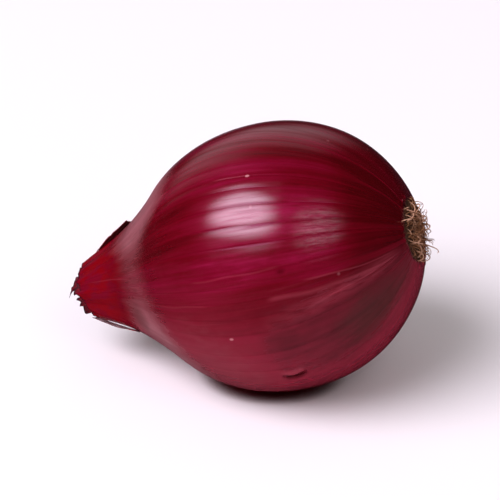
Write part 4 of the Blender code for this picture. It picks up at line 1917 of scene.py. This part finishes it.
    def build_camera(self) -> None:
        """Set the camera at the onion's side, a little above it, on a long lens."""
        azimuth, elevation = self.camera_azimuth, self.camera_elevation
        back = Vector(
            (
                math.sin(azimuth) * math.cos(elevation),
                -math.cos(azimuth) * math.cos(elevation),
                math.sin(elevation),
            )
        )
        low, high = self.packed
        centre = (low + high) / 2.0
        data = bpy.data.cameras.new("camera")
        camera = bpy.data.objects.new("camera", data)
        bpy.context.collection.objects.link(camera)
        data.sensor_width = 36.0
        width_seen = (high.x - low.x) / self.frame_share
        data.lens = data.sensor_width * self.camera_distance / width_seen
        data.clip_start = 0.01
        data.clip_end = 30.0
        camera.location = centre + back * self.camera_distance
        camera.rotation_euler = back.to_track_quat("Z", "Y").to_euler()
        bpy.context.scene.camera = camera

    def build(self) -> None:
        """Build the whole studio, with colours shown as they are."""
        self.build_floor()
        self.build_lights()
        self.build_surround()
        self.build_camera()
        bpy.context.scene.view_settings.view_transform = "Standard"


# ---------------------------------------------------------------------------------------------------
# Putting it together
# ---------------------------------------------------------------------------------------------------


def main() -> None:
    """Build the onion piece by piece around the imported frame."""
    logging.basicConfig(level=logging.INFO, format="%(name)s: %(message)s")
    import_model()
    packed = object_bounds()
    form = OnionForm.from_frame()
    patterns = SkinPatterns()
    skin = SkinFinish().build(patterns)
    neck_paper = PaperFinish("dry_neck_paper", (0.26, 0.004, 0.014), (0.12, 0.002, 0.009)).build(patterns)
    loose_paper = PaperFinish(
        "loose_dry_skin", (0.60, 0.060, 0.085), (0.40, 0.026, 0.040), edge=(0.06, 0.008, 0.014)
    ).build(patterns)
    far_paper = PaperFinish(
        "far_dry_skin",
        (0.34, 0.045, 0.055),
        (0.16, 0.006, 0.014),
        inside=(0.40, 0.16, 0.15),
        edge=(0.34, 0.12, 0.12),
    ).build(patterns)
    # Real brown cork, made darker as painted shade in the gaps between the roots.
    cork_and_gap_shade = RootFinish("root_cork", (0.16, 0.066, 0.027), (0.035, 0.012, 0.004), 900.0, 0.35).build(patterns)
    fibre = RootFinish(
        "dry_root_fibre", (0.66, 0.37, 0.24), (0.15, 0.064, 0.028), 500.0, 0.10
    ).build(patterns)
    felt_fibre = RootFinish(
        "rootlet_fibre", (0.42, 0.180, 0.078), (0.050, 0.017, 0.005), 500.0, 0.10
    ).build(patterns)

    bulb = Bulb(form)
    hand_over(bulb.build(), skin, ["bulb"])
    outer_shreds = ((0.81, 0.030, 1.1 * MM), (0.69, 0.045, 1.0 * MM))
    outer = NeckScale(
        form, "neck_scale_outer_paper", 3.9 * MM, 4.7 * MM, 4.0 * MM, seed=3, shreds=outer_shreds
    )
    hand_over(outer.build(), neck_paper, ["neck_scale_outer"])
    inner = NeckScale(
        form,
        "neck_scale_inner_paper",
        2.9 * MM,
        3.5 * MM,
        4.2 * MM,
        seed=14,
        turns_round=2.1,
        shreds=((0.276, 0.036, 2.4 * MM), (0.37, 0.018, 0.9 * MM)),
    )
    hand_over(inner.build(), neck_paper, ["neck_scale_inner"])
    lower = NeckFlap(
        form,
        bulb,
        "neck_flap_lower_paper",
        start=-35.4 * MM,
        end=-44.9 * MM,
        far_side=157.0,
        near_side=138.0,
        lift=0.85 * MM,
        corner=0.10 * MM,
        held=0.85,
        pale=1.0,
        seed=5,
    )
    hand_over(lower.build(), loose_paper, ["neck_flap_lower"])
    far = NeckFlap(
        form,
        bulb,
        "neck_flap_far_paper",
        start=-33.2 * MM,
        end=-41.4 * MM,
        far_side=-62.0,
        near_side=-12.0,
        lift=1.0 * MM,
        corner=0.9 * MM,
        held=0.0,
        pale=0.15,
        seed=9,
    )
    hand_over(far.build(), far_paper, ["neck_flap_far"])

    roots = RootEnd(form)
    hand_over(roots.build_plate(), cork_and_gap_shade, ["root_plate"])
    for index, root in enumerate(roots.build_roots()):
        hand_over(root, fibre, [f"root_{index + 1:02d}"])
    hand_over(roots.build_felt(), felt_fibre, [])

    Studio(packed).build()


if __name__ == "__main__":
    main()
